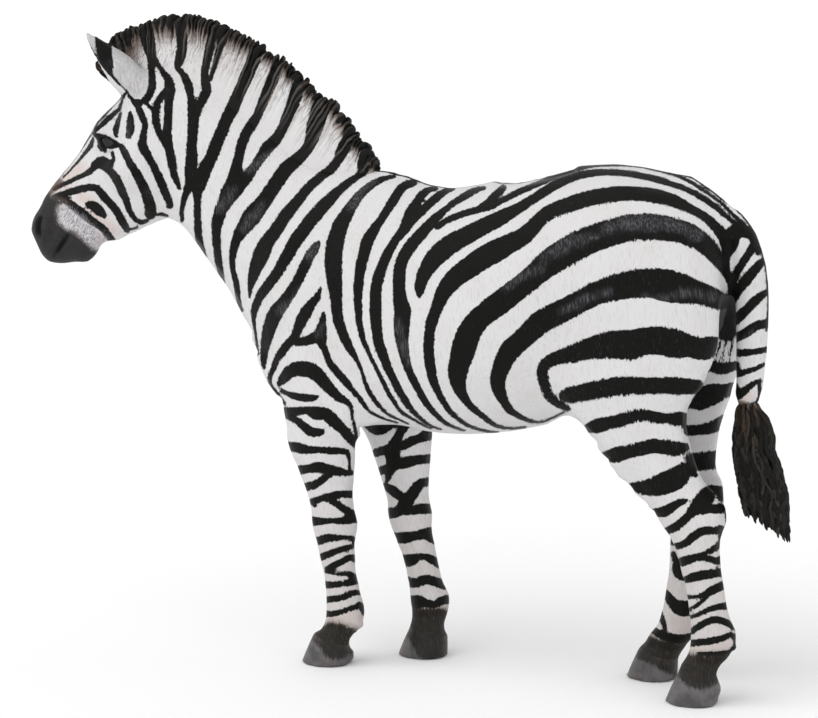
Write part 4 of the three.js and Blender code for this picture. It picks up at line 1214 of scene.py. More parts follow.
# ---------------------------------------------------------------- shader tools
class Sock:
    """A shader socket that takes part in arithmetic."""

    def __init__(self, nodes: "Nodes", value: bpy.types.NodeSocket) -> None:
        """Wraps a node's output socket."""
        self.nodes, self.value = nodes, value

    def _math(self, operation: str, *values: "Sock | float") -> "Sock":
        """Adds a Math node of this operation."""
        return self.nodes.add("ShaderNodeMath", {"operation": operation}, dict(enumerate(values)))

    def __add__(self, other: "Sock | float") -> "Sock":
        """self + other."""
        return self._math("ADD", self, other)

    def __sub__(self, other: "Sock | float") -> "Sock":
        """self - other."""
        return self._math("SUBTRACT", self, other)

    def __rsub__(self, other: "Sock | float") -> "Sock":
        """other - self."""
        return self._math("SUBTRACT", other, self)

    def __mul__(self, other: "Sock | float") -> "Sock":
        """self * other."""
        return self._math("MULTIPLY", self, other)

    __radd__, __rmul__ = __add__, __mul__

    def ramp(self, low: float, high: float) -> "Sock":
        """Ramps smoothly from 0 at low to 1 at high; high may be the lower number.

        Args:
            low: Where the ramp is 0.
            high: Where the ramp is 1.

        Returns:
            The ramp.
        """
        start, end, first, last = (low, high, 0.0, 1.0) if low < high else (high, low, 1.0, 0.0)
        values = {"Value": self, "From Min": start, "From Max": end, "To Min": first, "To Max": last}
        return self.nodes.add("ShaderNodeMapRange", {"interpolation_type": "SMOOTHSTEP"}, values)


class Nodes:
    """The node tree of a material or a world."""

    def __init__(self, owner: bpy.types.ID, shader: str = "Principled BSDF") -> None:
        """Takes over a node tree and finds its shader.

        Args:
            owner: The material or world.
            shader: The shader node's name.
        """
        owner.use_nodes = True
        self.owner, self.tree = owner, owner.node_tree
        self.shader = self.tree.nodes[shader]

    def feed(self, node: bpy.types.Node, key: int | str, value: "Sock | float | tuple") -> None:
        """Links a socket to a node's input, or sets the input to a value."""
        if isinstance(value, Sock):
            self.tree.links.new(value.value, node.inputs[key])
        else:
            node.inputs[key].default_value = value

    def add(
        self, kind: str, settings: dict | None = None, inputs: dict | None = None, output: int | str = 0
    ) -> Sock:
        """Adds a node.

        Args:
            kind: The node's type.
            settings: Attributes to set first.
            inputs: Values or sockets for its inputs, by name or number.
            output: Which output to return.

        Returns:
            That output.
        """
        node = self.tree.nodes.new(kind)
        for key, value in (settings or {}).items():
            setattr(node, key, value)
        for key, value in (inputs or {}).items():
            self.feed(node, key, value)
        return Sock(self, node.outputs[output])

    def attribute(self, name: str) -> Sock:
        """Returns a vertex number stored on the mesh."""
        return self.add("ShaderNodeAttribute", {"attribute_name": name}, None, "Fac")

    def here(self, stretch: tuple[float, float, float] = (1.0, 1.0, 1.0), turn: float = 0.0) -> Sock:
        """Finds the place on the object in mm.

        Args:
            stretch: What each axis is multiplied by, after the turn.
            turn: The angle about the Y axis, in radians.

        Returns:
            The place.
        """
        place = self.add("ShaderNodeTexCoord", output="Object")
        turned = {"Vector": place, "Angle": turn}
        place = self.add("ShaderNodeVectorRotate", {"rotation_type": "Y_AXIS"}, turned)
        scale = tuple(s / MM for s in stretch)
        return self.add("ShaderNodeMapping", {"vector_type": "POINT"}, {"Vector": place, "Scale": scale})

    def noise(self, scale: float, place: Sock | None = None, detail: float = 3.0, rough: float = 0.5) -> Sock:
        """Adds soft noise.

        Args:
            scale: How many waves to the mm.
            place: Where to read it; the place on the object unless given.
            detail: How many finer layers it has.
            rough: How strong the finer layers are.

        Returns:
            The noise, about 0.5.
        """
        inputs = {"Vector": place or self.here(), "Scale": scale, "Detail": detail, "Roughness": rough}
        return self.add("ShaderNodeTexNoise", {"noise_dimensions": "3D"}, inputs)

    def grain(
        self, stretch: tuple[float, float, float], turn: float, detail: float = 4.0, rough: float = 0.6
    ) -> Sock:
        """Returns noise that is drawn out into fine lines; the arguments are those of here and noise."""
        return self.noise(1.0, self.here(stretch, turn), detail, rough)

    def mix(self, share: Sock | float, a: Sock | tuple, b: Sock | tuple) -> Sock:
        """Returns colour a where share is 0 and b where it is 1."""
        return self.add("ShaderNodeMix", {"data_type": "RGBA"}, {0: share, 6: a, 7: b}, 2)

    def bump(self, height: Sock, depth: float) -> Sock:
        """Returns a normal bumped by height times depth in mm."""
        return self.add("ShaderNodeBump", None, {"Height": height, "Strength": 1.0, "Distance": depth * MM})

    def finish(
        self, colour: Sock | tuple, roughness: Sock | float, normal: Sock | None = None, **fixed: float
    ) -> bpy.types.Material:
        """Feeds the shader.

        Args:
            colour: The base colour.
            roughness: The roughness.
            normal: The bumped normal, where there is one.
            fixed: Constants for the shader's other inputs, by their names in small letters.

        Returns:
            The material.
        """
        inputs = {"Base Color": colour, "Roughness": roughness, "Normal": normal}
        for key, value in fixed.items():
            inputs[key.replace("_", " ").title().replace("Ior", "IOR")] = value
        for key, value in inputs.items():
            if value is not None:
                self.feed(self.shader, key, value)
        return self.owner


def rgb(red: float, green: float, blue: float) -> tuple[float, float, float, float]:
    """Turns a display colour into the shader's own linear colour.

    Args:
        red: 0 to 255.
        green: 0 to 255.
        blue: 0 to 255.

    Returns:
        The colour, with its alpha.
    """
    shares = [c / 255 for c in (red, green, blue)]
    return (*[c / 12.92 if c <= 0.04 else ((c + 0.055) / 1.055) ** 2.4 for c in shares], 1.0)


# ---------------------------------------------------------------- paints
PAPER, CREAM = rgb(216, 215, 216), rgb(209, 205, 203)
BLACK, WORN_BLACK = rgb(12, 12, 10), rgb(104, 103, 108)
GREY_HAIR, EAR_GREY = rgb(164, 160, 162), rgb(142, 141, 143)
# The third colour greys the ground towards the bottom of the body and legs.
UMBER, ROSE, LOW_GREY = rgb(74, 52, 38), rgb(205, 184, 176), rgb(184, 177, 173)
CHARCOAL, SLATE, NOSE_BROWN = rgb(48, 47, 47), rgb(86, 84, 86), rgb(92, 80, 72)
FROST_LOW, FROST_HIGH = rgb(112, 107, 111), rgb(208, 204, 210)
# Near-black painted shade for the nostril, the mouth and the gap beside the tail.
PAINTED_SHADE_BLACK = rgb(16, 15, 14)
FOOT_BLACK, FOOT_BROWN, FOOT_WASH = rgb(26, 25, 22), rgb(66, 58, 50), rgb(118, 98, 84)
HOOF_DARK, HOOF_LIGHT, HOOF_BROWN = rgb(74, 73, 74), rgb(103, 100, 101), rgb(112, 94, 84)
EYE_BLACK, EYE_BROWN = rgb(10, 10, 12), rgb(36, 28, 26)
MANE_GREY, MANE_LINE, MANE_GROOVE = rgb(186, 178, 172), rgb(84, 74, 68), rgb(104, 96, 90)
MANE_FRONT, MANE_TIP, MANE_WORN = rgb(88, 76, 70), rgb(84, 66, 55), rgb(88, 84, 82)
TIP_BLACK, TIP_WORN = rgb(14, 13, 12), rgb(84, 74, 66)
TUFT_BLACK, TUFT_ROOT = rgb(18, 17, 15), rgb(120, 104, 92)
TUFT_GREY, TUFT_BROWN = rgb(74, 70, 66), rgb(104, 84, 66)
FLOOR_WHITE, FLOOR_SHADE = rgb(253, 253, 253), rgb(250, 250, 250)
WHITE = (1.0, 1.0, 1.0, 1.0)
LEAN = 0.12  # how the moulded hair leans, in radians about the Y axis
HAIR_REACH = 9.0  # how far brushed hairs carry a paint's edge, in picture units
FOOT_EDGE = (2.2, -2.2)  # where the dark foot paint fades in, in picture units


def foot_edge(n: Nodes, hair: Sock) -> Sock:
    """Returns how far each place is outside the dark foot paint, with a hairy edge."""
    return n.attribute("foot") + (hair - 0.5) * HAIR_REACH


def foot_paint(n: Nodes, hair: Sock) -> Sock:
    """Returns the dark foot paint, with brown hairs on it."""
    return n.mix(hair.ramp(0.46, 0.72) * 0.55, FOOT_BLACK, FOOT_BROWN)


@dataclass(frozen=True)
class StripedPaint:
    """Off-white figurine paint with hand-brushed black stripes, airbrushed washes and near-black painted
    shade in a few recesses.
    """

    name: str = "striped_paint"
    wobble: float = 1.6  # how far noise moves a stripe's edge, in picture units
    specks: float = 0.9  # how far fine specks move it
    softness: float = 0.55  # half the width of its blend
    drag: float = 13.0  # how far the brush drags the muzzle's edge
    frost_drag: tuple[float, float] = (34.0, 9.0)  # how far strokes and specks scatter the frosting
    roughness: float = 0.52
    smoother_black: float = 0.08
    moulded: float = 0.13  # how high the moulded hair stands, in mm
    sheen: float = 0.1

    def build(self) -> bpy.types.Material:
        """Makes the material from the layers that are stored on the mesh.

        Returns:
            The material.
        """
        n = Nodes(bpy.data.materials.new(self.name))
        fine = n.noise(2.2, detail=4.0, rough=0.62)
        hair = n.grain((5.5, 5.5, 0.6), LEAN)
        brush = n.attribute("brush")
        black = self.black(n, fine, hair, brush)
        foot = foot_edge(n, hair)
        colour = n.mix(black, self.ground(n, hair, foot), self.dark(n, hair, brush))
        umber = (n.attribute("umber") + (fine - 0.5) * 0.5).ramp(0.15, 0.95)
        colour = self.muzzle(n, n.mix(umber * 0.85, colour, UMBER), fine)
        # Painted shade: the nostril, the mouth and the gap beside the tail turn near-black.
        colour = n.mix(n.attribute("painted_shade") * 0.9, colour, PAINTED_SHADE_BLACK)
        colour = n.mix(foot.ramp(*FOOT_EDGE) * 0.97, colour, foot_paint(n, hair))
        height = hair * 0.8 + n.noise(1.4, detail=4.0) * 0.5
        roughness = self.roughness - black * self.smoother_black
        return n.finish(colour, roughness, n.bump(height, self.moulded), specular_ior_level=self.sheen)

    def black(self, n: Nodes, fine: Sock, hair: Sock, brush: Sock) -> Sock:
        """Cuts the stripes out, with edges that wobble and break into brushed hairs.

        Args:
            n: The node tree.
            fine: Fine noise.
            hair: Noise along the hair.
            brush: How dry the brush was.

        Returns:
            1 in the stripes and 0 between them.
        """
        speck = n.noise(6.0, detail=2.0)
        uneven = n.noise(0.3, detail=2.0).ramp(0.4, 0.62) * 0.75 + 0.35
        edge = n.attribute("stripe") + (fine - 0.5) * (2.0 * self.wobble) + (speck - 0.5) * self.specks
        edge = edge + (hair - 0.5) * (brush * uneven * HAIR_REACH)
        return edge.ramp(self.softness, -self.softness)

    def ground(self, n: Nodes, hair: Sock, foot: Sock) -> Sock:
        """Washes the off-white ground.

        Args:
            n: The node tree.
            hair: Noise along the hair.
            foot: Distance to the foot paint.

        Returns:
            The colour between the stripes.
        """
        ground = n.mix(n.noise(0.25, detail=3.0).ramp(0.35, 0.75) * 0.5, PAPER, CREAM)
        ground = n.mix(hair.ramp(0.5, 0.74) * 0.4, ground, GREY_HAIR)
        ground = n.mix(n.attribute("ear") * (hair.ramp(0.3, 0.6) * 0.35 + 0.18), ground, EAR_GREY)
        ground = n.mix(n.attribute("rose"), ground, ROSE)
        ground = n.mix(foot.ramp(7.0, 0.5) * 0.8, ground, FOOT_WASH)
        # Greyer towards the bottom.
        return n.mix(n.attribute("low_grey") * (hair.ramp(0.3, 0.7) * 0.4 + 0.6), ground, LOW_GREY)

    def dark(self, n: Nodes, hair: Sock, brush: Sock) -> Sock:
        """Wears the black down to grey where the brush ran dry.

        Args:
            n: The node tree.
            hair: Noise along the hair.
            brush: How dry the brush was.

        Returns:
            The stripes' colour.
        """
        patchy = n.noise(0.5, detail=3.0)
        worn = (n.attribute("wear") + (patchy - 0.5) * 1.1).ramp(0.15, 1.0)
        worn = worn * (hair.ramp(0.45, 0.62) * 0.75 + 0.2)
        streak = n.grain((9.0, 9.0, 0.9), LEAN, 3.0).ramp(0.6, 0.72)
        return n.mix(worn * 0.62 + streak * (brush * 0.22 + 0.05), BLACK, WORN_BLACK)

    def muzzle(self, n: Nodes, colour: Sock, fine: Sock) -> Sock:
        """Paints the dark muzzle and the pale frosting on it.

        Args:
            n: The node tree.
            colour: The colour under them.
            fine: Fine noise.

        Returns:
            The colour with both.
        """
        drag = n.grain((5.0, 5.0, 0.9), 0.75, rough=0.65)
        edge = n.attribute("muzzle") + (drag - 0.5) * self.drag + (fine - 0.5) * 4.0
        colour = n.mix(edge.ramp(4.5, -1.0) * 0.72, colour, NOSE_BROWN)
        slate = n.mix(n.noise(3.0, detail=3.0).ramp(0.4, 0.7) * 0.12, CHARCOAL, SLATE)
        colour = n.mix(edge.ramp(1.6, -4.0), colour, slate)
        cross = n.grain((7.0, 7.0, 1.3), -0.5, rough=0.65)
        speckle = n.noise(4.5, detail=4.0, rough=0.7)
        strokes, specks = self.frost_drag
        frost = n.attribute("frost") + (cross - 0.5) * strokes + (speckle - 0.5) * specks
        brushed = n.mix((cross * 0.8 + speckle * 0.2).ramp(0.4, 0.58), FROST_LOW, FROST_HIGH)
        return n.mix(frost.ramp(3.5, -3.5) * 0.85, colour, brushed)


@dataclass(frozen=True)
class HornPaint:
    """Dark grey hoof paint with a low sheen and faint growth rings."""

    name: str = "hoof_paint"
    sheen: float = 0.2

    def build(self) -> bpy.types.Material:
        """Makes the material.

        Returns:
            The material.
        """
        n = Nodes(bpy.data.materials.new(self.name))
        rings = n.noise(1.0, n.here((0.3, 0.3, 3.2)), 3.0)
        patch = n.noise(0.6, detail=3.0)
        hair = n.grain((5.0, 5.0, 0.7), LEAN)
        top = foot_edge(n, hair).ramp(*FOOT_EDGE)
        colour = n.mix(patch.ramp(0.3, 0.7), HOOF_DARK, HOOF_LIGHT)
        colour = n.mix(top * 0.94, colour, foot_paint(n, hair))
        colour = n.mix(n.noise(0.35, detail=3.0).ramp(0.5, 0.75) * 0.35, colour, HOOF_BROWN)
        roughness = n.noise(2.0, detail=2.0) * 0.15 + 0.34
        return n.finish(colour, roughness, n.bump(rings + patch * 0.4, 0.08), specular_ior_level=self.sheen)


@dataclass(frozen=True)
class EyeGloss:
    """Black eye paint under clear gloss, with a dark brown ring."""

    name: str = "eye_gloss"
    gloss: float = 0.3
    sheen: float = 0.25

    def build(self) -> bpy.types.Material:
        """Makes the material.

        Returns:
            The material.
        """
        n = Nodes(bpy.data.materials.new(self.name))
        iris = n.attribute("iris") + (n.noise(4.0) - 0.5) * 0.12
        colour = n.mix(iris.ramp(0.25, 0.6), EYE_BLACK, EYE_BROWN)
        roughness = n.noise(5.0) * 0.06 + 0.12
        return n.finish(colour, roughness, coat_weight=self.gloss, specular_ior_level=self.sheen)


@dataclass(frozen=True)
class TuftPaint:
    """Black paint on moulded hair, worn on the ridges and brown at the root."""

    name: str = "tuft_paint"
    sheen: float = 0.14

    def build(self) -> bpy.types.Material:
        """Makes the material from the layers that are stored on the mesh.

        Returns:
            The material.
        """
        n = Nodes(bpy.data.materials.new(self.name))
        fine = self.fine(n)
        height = n.bump(n.attribute("strand") + fine * 0.4, 0.09)
        return n.finish(self.colour(n), fine * 0.12 + 0.5, height, specular_ior_level=self.sheen)

    def fine(self, n: Nodes) -> Sock:
        """Returns fine noise."""
        return n.noise(2.4, detail=4.0, rough=0.6)

    def colour(self, n: Nodes) -> Sock:
        """Mixes the hair's colour.

        Args:
            n: The node tree.

        Returns:
            The colour.
        """
        relief, strand, tip = n.attribute("relief"), n.attribute("strand"), n.attribute("tip")
        worn = n.mix(tip.ramp(8.0, 3.0), TUFT_GREY, TUFT_BROWN)
        colour = n.mix(relief.ramp(0.72, 1.0) * strand.ramp(0.42, 0.8) * 0.5, TUFT_BLACK, worn)
        return n.mix((tip + (strand - 0.5) * 1.6).ramp(1.0, 0.1) * 0.7, colour, TUFT_ROOT)


@dataclass(frozen=True)
class ManePaint(TuftPaint):
    """Striped paint on the mane, brown towards the tips and black along the upper edge."""

    name: str = "mane_paint"

    def colour(self, n: Nodes) -> Sock:
        """Mixes the mane's colour.

        Args:
            n: The node tree.

        Returns:
            The colour.
        """
        fine, relief, strand = self.fine(n), n.attribute("relief"), n.attribute("strand")
        tip = n.attribute("tip") + (strand - 0.5) * 2.2 + (fine - 0.5) * 1.2
        black = (n.attribute("stripe") + (fine - 0.5) * 2.6 + (strand - 0.5) * 1.4).ramp(0.6, -0.6)
        line = n.grain((7.0, 7.0, 0.6), -0.45, 3.0)
        ground = n.mix(strand.ramp(0.35, 0.8) * 0.6, PAPER, MANE_GREY)
        ground = n.mix(line.ramp(0.52, 0.64) * tip.ramp(10.0, 4.0) * 0.75, ground, MANE_LINE)
        ground = n.mix(relief.ramp(0.6, 0.15) * 0.6, ground, MANE_GROOVE)
        ground = n.mix(n.attribute("front") * (line.ramp(0.4, 0.6) * 0.4 + 0.4), ground, MANE_FRONT)
        ground = n.mix(tip.ramp(4.8, 2.1) * 0.85, ground, MANE_TIP)
        dark = n.mix(strand.ramp(0.45, 0.8) * relief.ramp(0.5, 0.9) * 0.75, BLACK, MANE_WORN)
        edge = n.mix(relief.ramp(0.6, 1.0) * strand.ramp(0.3, 0.8) * 0.5, TIP_BLACK, TIP_WORN)
        return n.mix(tip.ramp(2.5, 1.5), n.mix(black, ground, dark), edge)


@dataclass(frozen=True)
class FloorPaint:
    """The pale floor's finish."""

    name: str = "floor_paint"
    roughness: float = 0.9

    def build(self) -> bpy.types.Material:
        """Makes the material."""
        n = Nodes(bpy.data.materials.new(self.name))
        return n.finish(n.mix(n.noise(0.01) * 0.2, FLOOR_WHITE, FLOOR_SHADE), self.roughness)


# ---------------------------------------------------------------- pieces
FLESH = (
    "muzzle", "head", "neck", "trunk", "foreleg_left", "foreshank_left", "foreleg_right", "foreshank_right",
    "hindleg_left", "hindshank_left", "hindleg_right", "hindshank_right", "tail_dock",
    "ear_left", "ear_right",
)
HOOVES = ("forehoof_left", "forehoof_right", "hindhoof_left", "hindhoof_right")


@dataclass(frozen=True)
class EyePlace:
    """Where the eyes sit, on the head's own axis."""

    poll: tuple[float, float] = (-38.5, 77.0)
    tilt: float = 42.0
    along: float = 7.1
    rise: float = 1.2
    side: float = 3.85
    radius: float = 1.5
    lid: float = 0.3  # how far the lids stand off the ball

    def centre(self, hand: float) -> np.ndarray:
        """Places an eye's centre.

        Args:
            hand: -1 on the left and 1 on the right.

        Returns:
            The centre in mm, on the drawing's axes.
        """
        c, s = math.cos(math.radians(self.tilt)), math.sin(math.radians(self.tilt))
        x = self.poll[0] - self.along * c - self.rise * s
        z = self.poll[1] - self.along * s + self.rise * c
        return np.array([x, self.side * hand, z])


EYE = EyePlace()


def ball(name: str, centre: np.ndarray, radius: float, segments: int) -> bpy.types.Object:
    """Adds a ball.

    Args:
        name: Its name.
        centre: Its place in mm, on the drawing's axes.
        radius: Its radius in mm.
        segments: How many faces go round it.

    Returns:
        The ball.
    """
    bpy.ops.mesh.primitive_uv_sphere_add(
        segments=segments, ring_count=segments // 2, radius=radius * MM, location=to_frame(centre)
    )
    obj = bpy.context.object
    obj.name = name
    bpy.ops.object.transform_apply(location=True, rotation=True, scale=True)
    return obj


@dataclass(frozen=True)
class Regions:
    """Where the body's regions fade in: the place of 0, then the place of 1.

    Places are in mm on the drawing's axes, or in picture units where that is said.
    """

    right: tuple[float, float] = (0.0, 1.0)
    far_fore: tuple[float, float] = (14.0, 12.0)
    far_fore_height: tuple[float, float] = (40.0, 35.5)
    far_hind: tuple[float, float] = (18.0, 20.0)
    inner_leg: tuple[float, float] = (8.5, 6.5)
    inner_leg_height: tuple[float, float] = (50.0, 48.0)
    tail_start: tuple[float, float] = (47.6, 48.2)
    tail_half: tuple[float, float] = (3.4, 2.6)
    behind_edge: tuple[float, float] = (714.0, 717.0)  # picture
    behind_top: tuple[float, float] = (282.0, 290.0)  # picture
    behind_start: tuple[float, float] = (30.0, 33.0)
    behind_inner: tuple[float, float] = (2.2, 3.0)
    behind_outer: tuple[float, float] = (8.6, 7.4)
    spine_half: tuple[float, float] = (0.9, 0.3)
    spine_height: tuple[float, float] = (64.0, 66.0)
    spine_front: tuple[float, float] = (-18.0, -15.0)
    spine_rear: tuple[float, float] = (47.0, 44.0)
    ear_edge: tuple[float, float] = (0.4, -0.4)  # picture
    ear_root: tuple[float, float] = (79.0, 80.0)
    ear_tip: tuple[float, float] = (81.5, 83.0)
    ear_front: tuple[float, float] = (-37.0, -39.0)
    barrel_front: tuple[float, float] = (335.0, 365.0)  # picture
    barrel_rear: tuple[float, float] = (560.0, 500.0)  # picture
    barrel_height: tuple[float, float] = (38.0, 42.0)
    face: tuple[float, float] = (-33.0, -36.0)
    haunch_front: tuple[float, float] = (500.0, 560.0)  # picture
    haunch_rear: tuple[float, float] = (728.0, 715.0)  # picture
    haunch_height: tuple[float, float] = (24.0, 34.0)
    crown: tuple[float, float] = (198.0, 206.0)  # picture
    low_grey_height: tuple[float, float] = (34.0, 10.0)
    sole_height: tuple[float, float] = (4.4, 2.4)
    wear: tuple[float, float] = (8.0, -7.0)  # picture
    painted_shade: tuple[float, float] = (2.2, -1.2)  # picture
    rose: tuple[float, float] = (6.0, -4.0)  # picture
    umber: tuple[float, float] = (4.0, -3.5)  # picture


AT = Regions()
LAYER_REACH = 12.0  # the largest distance that is stored for a washed layer, in picture units


@dataclass
class Skin:
    """The one moulded surface of body, head, ears, legs and dock."""

    swell: float = 0.22  # closes the CAD's thin cuts, taken off again after the union
    voxel: float = 0.488
    dock_place: tuple[float, float] = (748.0, 391.0)  # picture
    dock_radii: tuple[float, float, float] = (1.9, 1.75, 2.9)
    rounds: int = 30  # of smoothing
    kept_edges: float = 0.8  # how much less the ears and soles are smoothed
    eye_rings: tuple[float, ...] = (3.1, 2.4)  # the mesh is made finer within each of these of an eye
    eye_ring_smooth: float = 3.6
    fine_reliefs: tuple[str, ...] = ("nostril", "mouth")  # the mesh is made finer round these
    fine_reach: float = 4.0
    fine_before: float = -46.0
    thin: float = 3.6  # strokes narrower than this get a finer mesh
    thin_reach: float = 1.3
    hoof_box: tuple[float, float] = (5.2, 9.0)  # half width and height that hold a hoof
    hoof_ring: float = 2.6  # above this a hoof's points are its top edge
    opening: tuple[float, float] = (0.35, -0.45)  # where the lids open, in picture units
    clearance: tuple[float, float] = (0.1, 0.35)  # of the lids over the ball, and of the socket under it
    obj: bpy.types.Object = field(init=False)
    hooves: dict[str, bpy.types.Object] = field(init=False, default_factory=dict)

    def build(self) -> None:
        """Joins the flesh nodes into one smooth closed surface and models its relief."""
        copies = [copy_node(name) for name in FLESH + HOOVES]
        planes = {name: self.coronet(copy) for name, copy in zip(HOOVES, copies[len(FLESH):])}
        for copy in copies:
            apply_modifier(copy, "DISPLACE", strength=self.swell * MM, mid_level=0.0)
        lid = EYE.radius + EYE.lid + self.swell
        copies += [ball("lid", EYE.centre(hand), lid, 32) for hand in HANDS]
        copies.append(self.dock_end())
        self.obj = join(copies, "skin")
        apply_modifier(self.obj, "REMESH", mode="VOXEL", voxel_size=self.voxel * MM)
        relax(self.obj, 2, back=())
        put(self.obj, places(self.obj) - normals(self.obj) * self.swell)
        self.smooth()
        self.carve()
        for name, (centre, up) in planes.items():
            self.part_hoof(name, centre, up)

    def smooth(self) -> None:
        """Smooths the surface, and makes the mesh finer where the detail is."""
        p = places(self.obj)
        kept = np.maximum(self.ear_share(p), smoothstep(*AT.sole_height, p[:, 2]))
        relax(self.obj, self.rounds, 1.0 - self.kept_edges * kept)
        for reach in self.eye_rings:
            refine(self.obj, self.eye_distance() < reach)
        p = places(self.obj)
        q = VIEW.draw(mirrored(p))
        mouth = np.min([r.stroke.distance(q) for r in RELIEFS if r.stroke.name in self.fine_reliefs], 0)
        refine(self.obj, (mouth < self.fine_reach) & (p[:, 0] < self.fine_before))
        relax(self.obj, 3, (self.eye_distance() < self.eye_ring_smooth) * 1.0)
        refine(self.obj, self.thin_stroke_near())

    def dock_end(self) -> bpy.types.Object:
        """Adds the rounded end of the dock, which the tuft grows from.

        Returns:
            The rounded end.
        """
        centre = VIEW.place(np.array([self.dock_place]))[0]
        obj = ball("dock_end", centre, 1.0, 24)
        p = places(obj) - centre
        put(obj, centre + p * np.array(self.dock_radii))
        return obj

    def thin_stroke_near(self) -> np.ndarray:
        """Finds the vertices that need a finer mesh.

        Returns:
            True for each vertex that lies on a narrow stroke.
        """
        p = places(self.obj)
        x, y, z = p.T
        seen, folded = VIEW.draw(p), VIEW.draw(mirrored(p))
        near = np.zeros(len(p), bool)
        for marks, q, part in (
            (BODY_MARKS, folded, np.ones(len(p), bool)),
            (EAR_MARKS, folded, z > 80.0),
            (FAR_FORE_MARKS, seen, (y > 0) & (x < 13.0)),
            (FAR_HIND_MARKS, seen, (y > 0) & (x > 18.0)),
            (TAIL_MARKS, folded, x > 40.0),
        ):
            pieces = []
            for s in marks.strokes:
                pairs = zip(s.points, s.points[1:])
                pieces += [Stroke(s.name, (a, b)) for a, b in pairs if min(a[2], b[2]) < self.thin]
            near |= part & (Marks(tuple(pieces), 3.0).distance(q) < self.thin_reach)
        return near

    def coronet(self, hoof: bpy.types.Object) -> tuple[np.ndarray, np.ndarray]:
        """Finds the plane of a hoof's top edge.

        Args:
            hoof: The hoof's mesh.

        Returns:
            The edge's middle in mm and the direction across it.
        """
        p = places(hoof)
        ring = p[p[:, 2] > self.hoof_ring]
        front, rear = ring[ring[:, 0].argmin()], ring[ring[:, 0].argmax()]
        slope = math.atan2(front[2] - rear[2], rear[0] - front[0])
        return ring.mean(0), np.array([math.sin(slope), 0.0, math.cos(slope)])

    def part_hoof(self, name: str, centre: np.ndarray, up: np.ndarray) -> None:
        """Cuts one hoof off the skin along its coronet, flush and closed on both sides.

        Args:
            name: The hoof's node.
            centre: The coronet's middle in mm.
            up: The direction across it.
        """
        hoof = bpy.data.objects.new(f"{name}_horn", self.obj.data.copy())
        bpy.context.scene.collection.objects.link(hoof)
        half, top = self.hoof_box
        for obj, keep_low in ((hoof, True), (self.obj, False)):
            activate(obj)
            p = places(obj)
            near = (np.abs(p[:, :2] - centre[:2]) < half).all(1) & (p[:, 2] < top)
            obj.data.vertices.foreach_set("select", near)
            obj.data.edges.foreach_set("select", np.zeros(len(obj.data.edges), bool))
            obj.data.polygons.foreach_set("select", np.zeros(len(obj.data.polygons), bool))
            bpy.ops.object.mode_set(mode="EDIT")
            bpy.ops.mesh.select_mode(type="VERT")
            if keep_low:
                bpy.ops.mesh.select_all(action="INVERT")
                bpy.ops.mesh.delete(type="VERT")
                bpy.ops.mesh.select_all(action="SELECT")
            bpy.ops.mesh.bisect(
                plane_co=to_frame(centre), plane_no=up, use_fill=True,
                clear_inner=not keep_low, clear_outer=keep_low, threshold=1e-7,
            )
            bpy.ops.object.mode_set(mode="OBJECT")
        self.hooves[name] = hoof

    def eye_distance(self) -> np.ndarray:
        """Returns each vertex's distance to the nearer eye's centre, in mm."""
        p = places(self.obj)
        return np.minimum(*[np.linalg.norm(p - EYE.centre(hand), axis=1) for hand in HANDS])

    def carve(self) -> None:
        """Models grooves and ridges, and opens the lids over the eyeballs."""
        p, n = places(self.obj), normals(self.obj)
        q = VIEW.draw(mirrored(p))
        folded = np.stack([n[:, 0], np.where(p[:, 1] > 0, -n[:, 1], n[:, 1]), n[:, 2]], 1)
        facing = folded @ VIEW.axes()[2]
        rise = np.zeros(len(p))
        for relief in RELIEFS:
            drawn = np.array(relief.stroke.points)[:, :2]
            low, high = drawn.min(0) - LAYER_REACH, drawn.max(0) + LAYER_REACH
            near = np.flatnonzero(((q > low) & (q < high)).all(1))
            rise[near] += relief.rise(q[near]) * relief.share(facing[near], p[near, 1])
        p = p + n * rise[:, None]
        for hand in HANDS:
            self.open_lids(p, q, hand)
        put(self.obj, p)

    def open_lids(self, p: np.ndarray, q: np.ndarray, hand: float) -> None:
        """Sinks the skin under one eyeball and lets the lids stand over its edge.

        Args:
            p: The vertices in mm, which this changes.
            q: Their places on the picture plane, folded to the left.
            hand: -1 on the left and 1 on the right.
        """
        centre = EYE.centre(hand)
        out = p - centre
        r = np.linalg.norm(out, axis=1)
        near = np.flatnonzero((r < 2 * EYE.radius) & (out[:, 1] * hand > 0.2))
        sunk = smoothstep(*self.opening, EYE_OPENING.distance(q[near]))
        over, under = self.clearance
        target = np.maximum(r[near], EYE.radius + over) * (1 - sunk) + (EYE.radius - under) * sunk
        p[near] = centre + out[near] / r[near, None] * target[:, None]

    def ear_share(self, p: np.ndarray) -> np.ndarray:
        """Returns 1 on the ears and 0 elsewhere."""
        return smoothstep(*AT.ear_tip, p[:, 2]) * smoothstep(*AT.ear_front, p[:, 0])

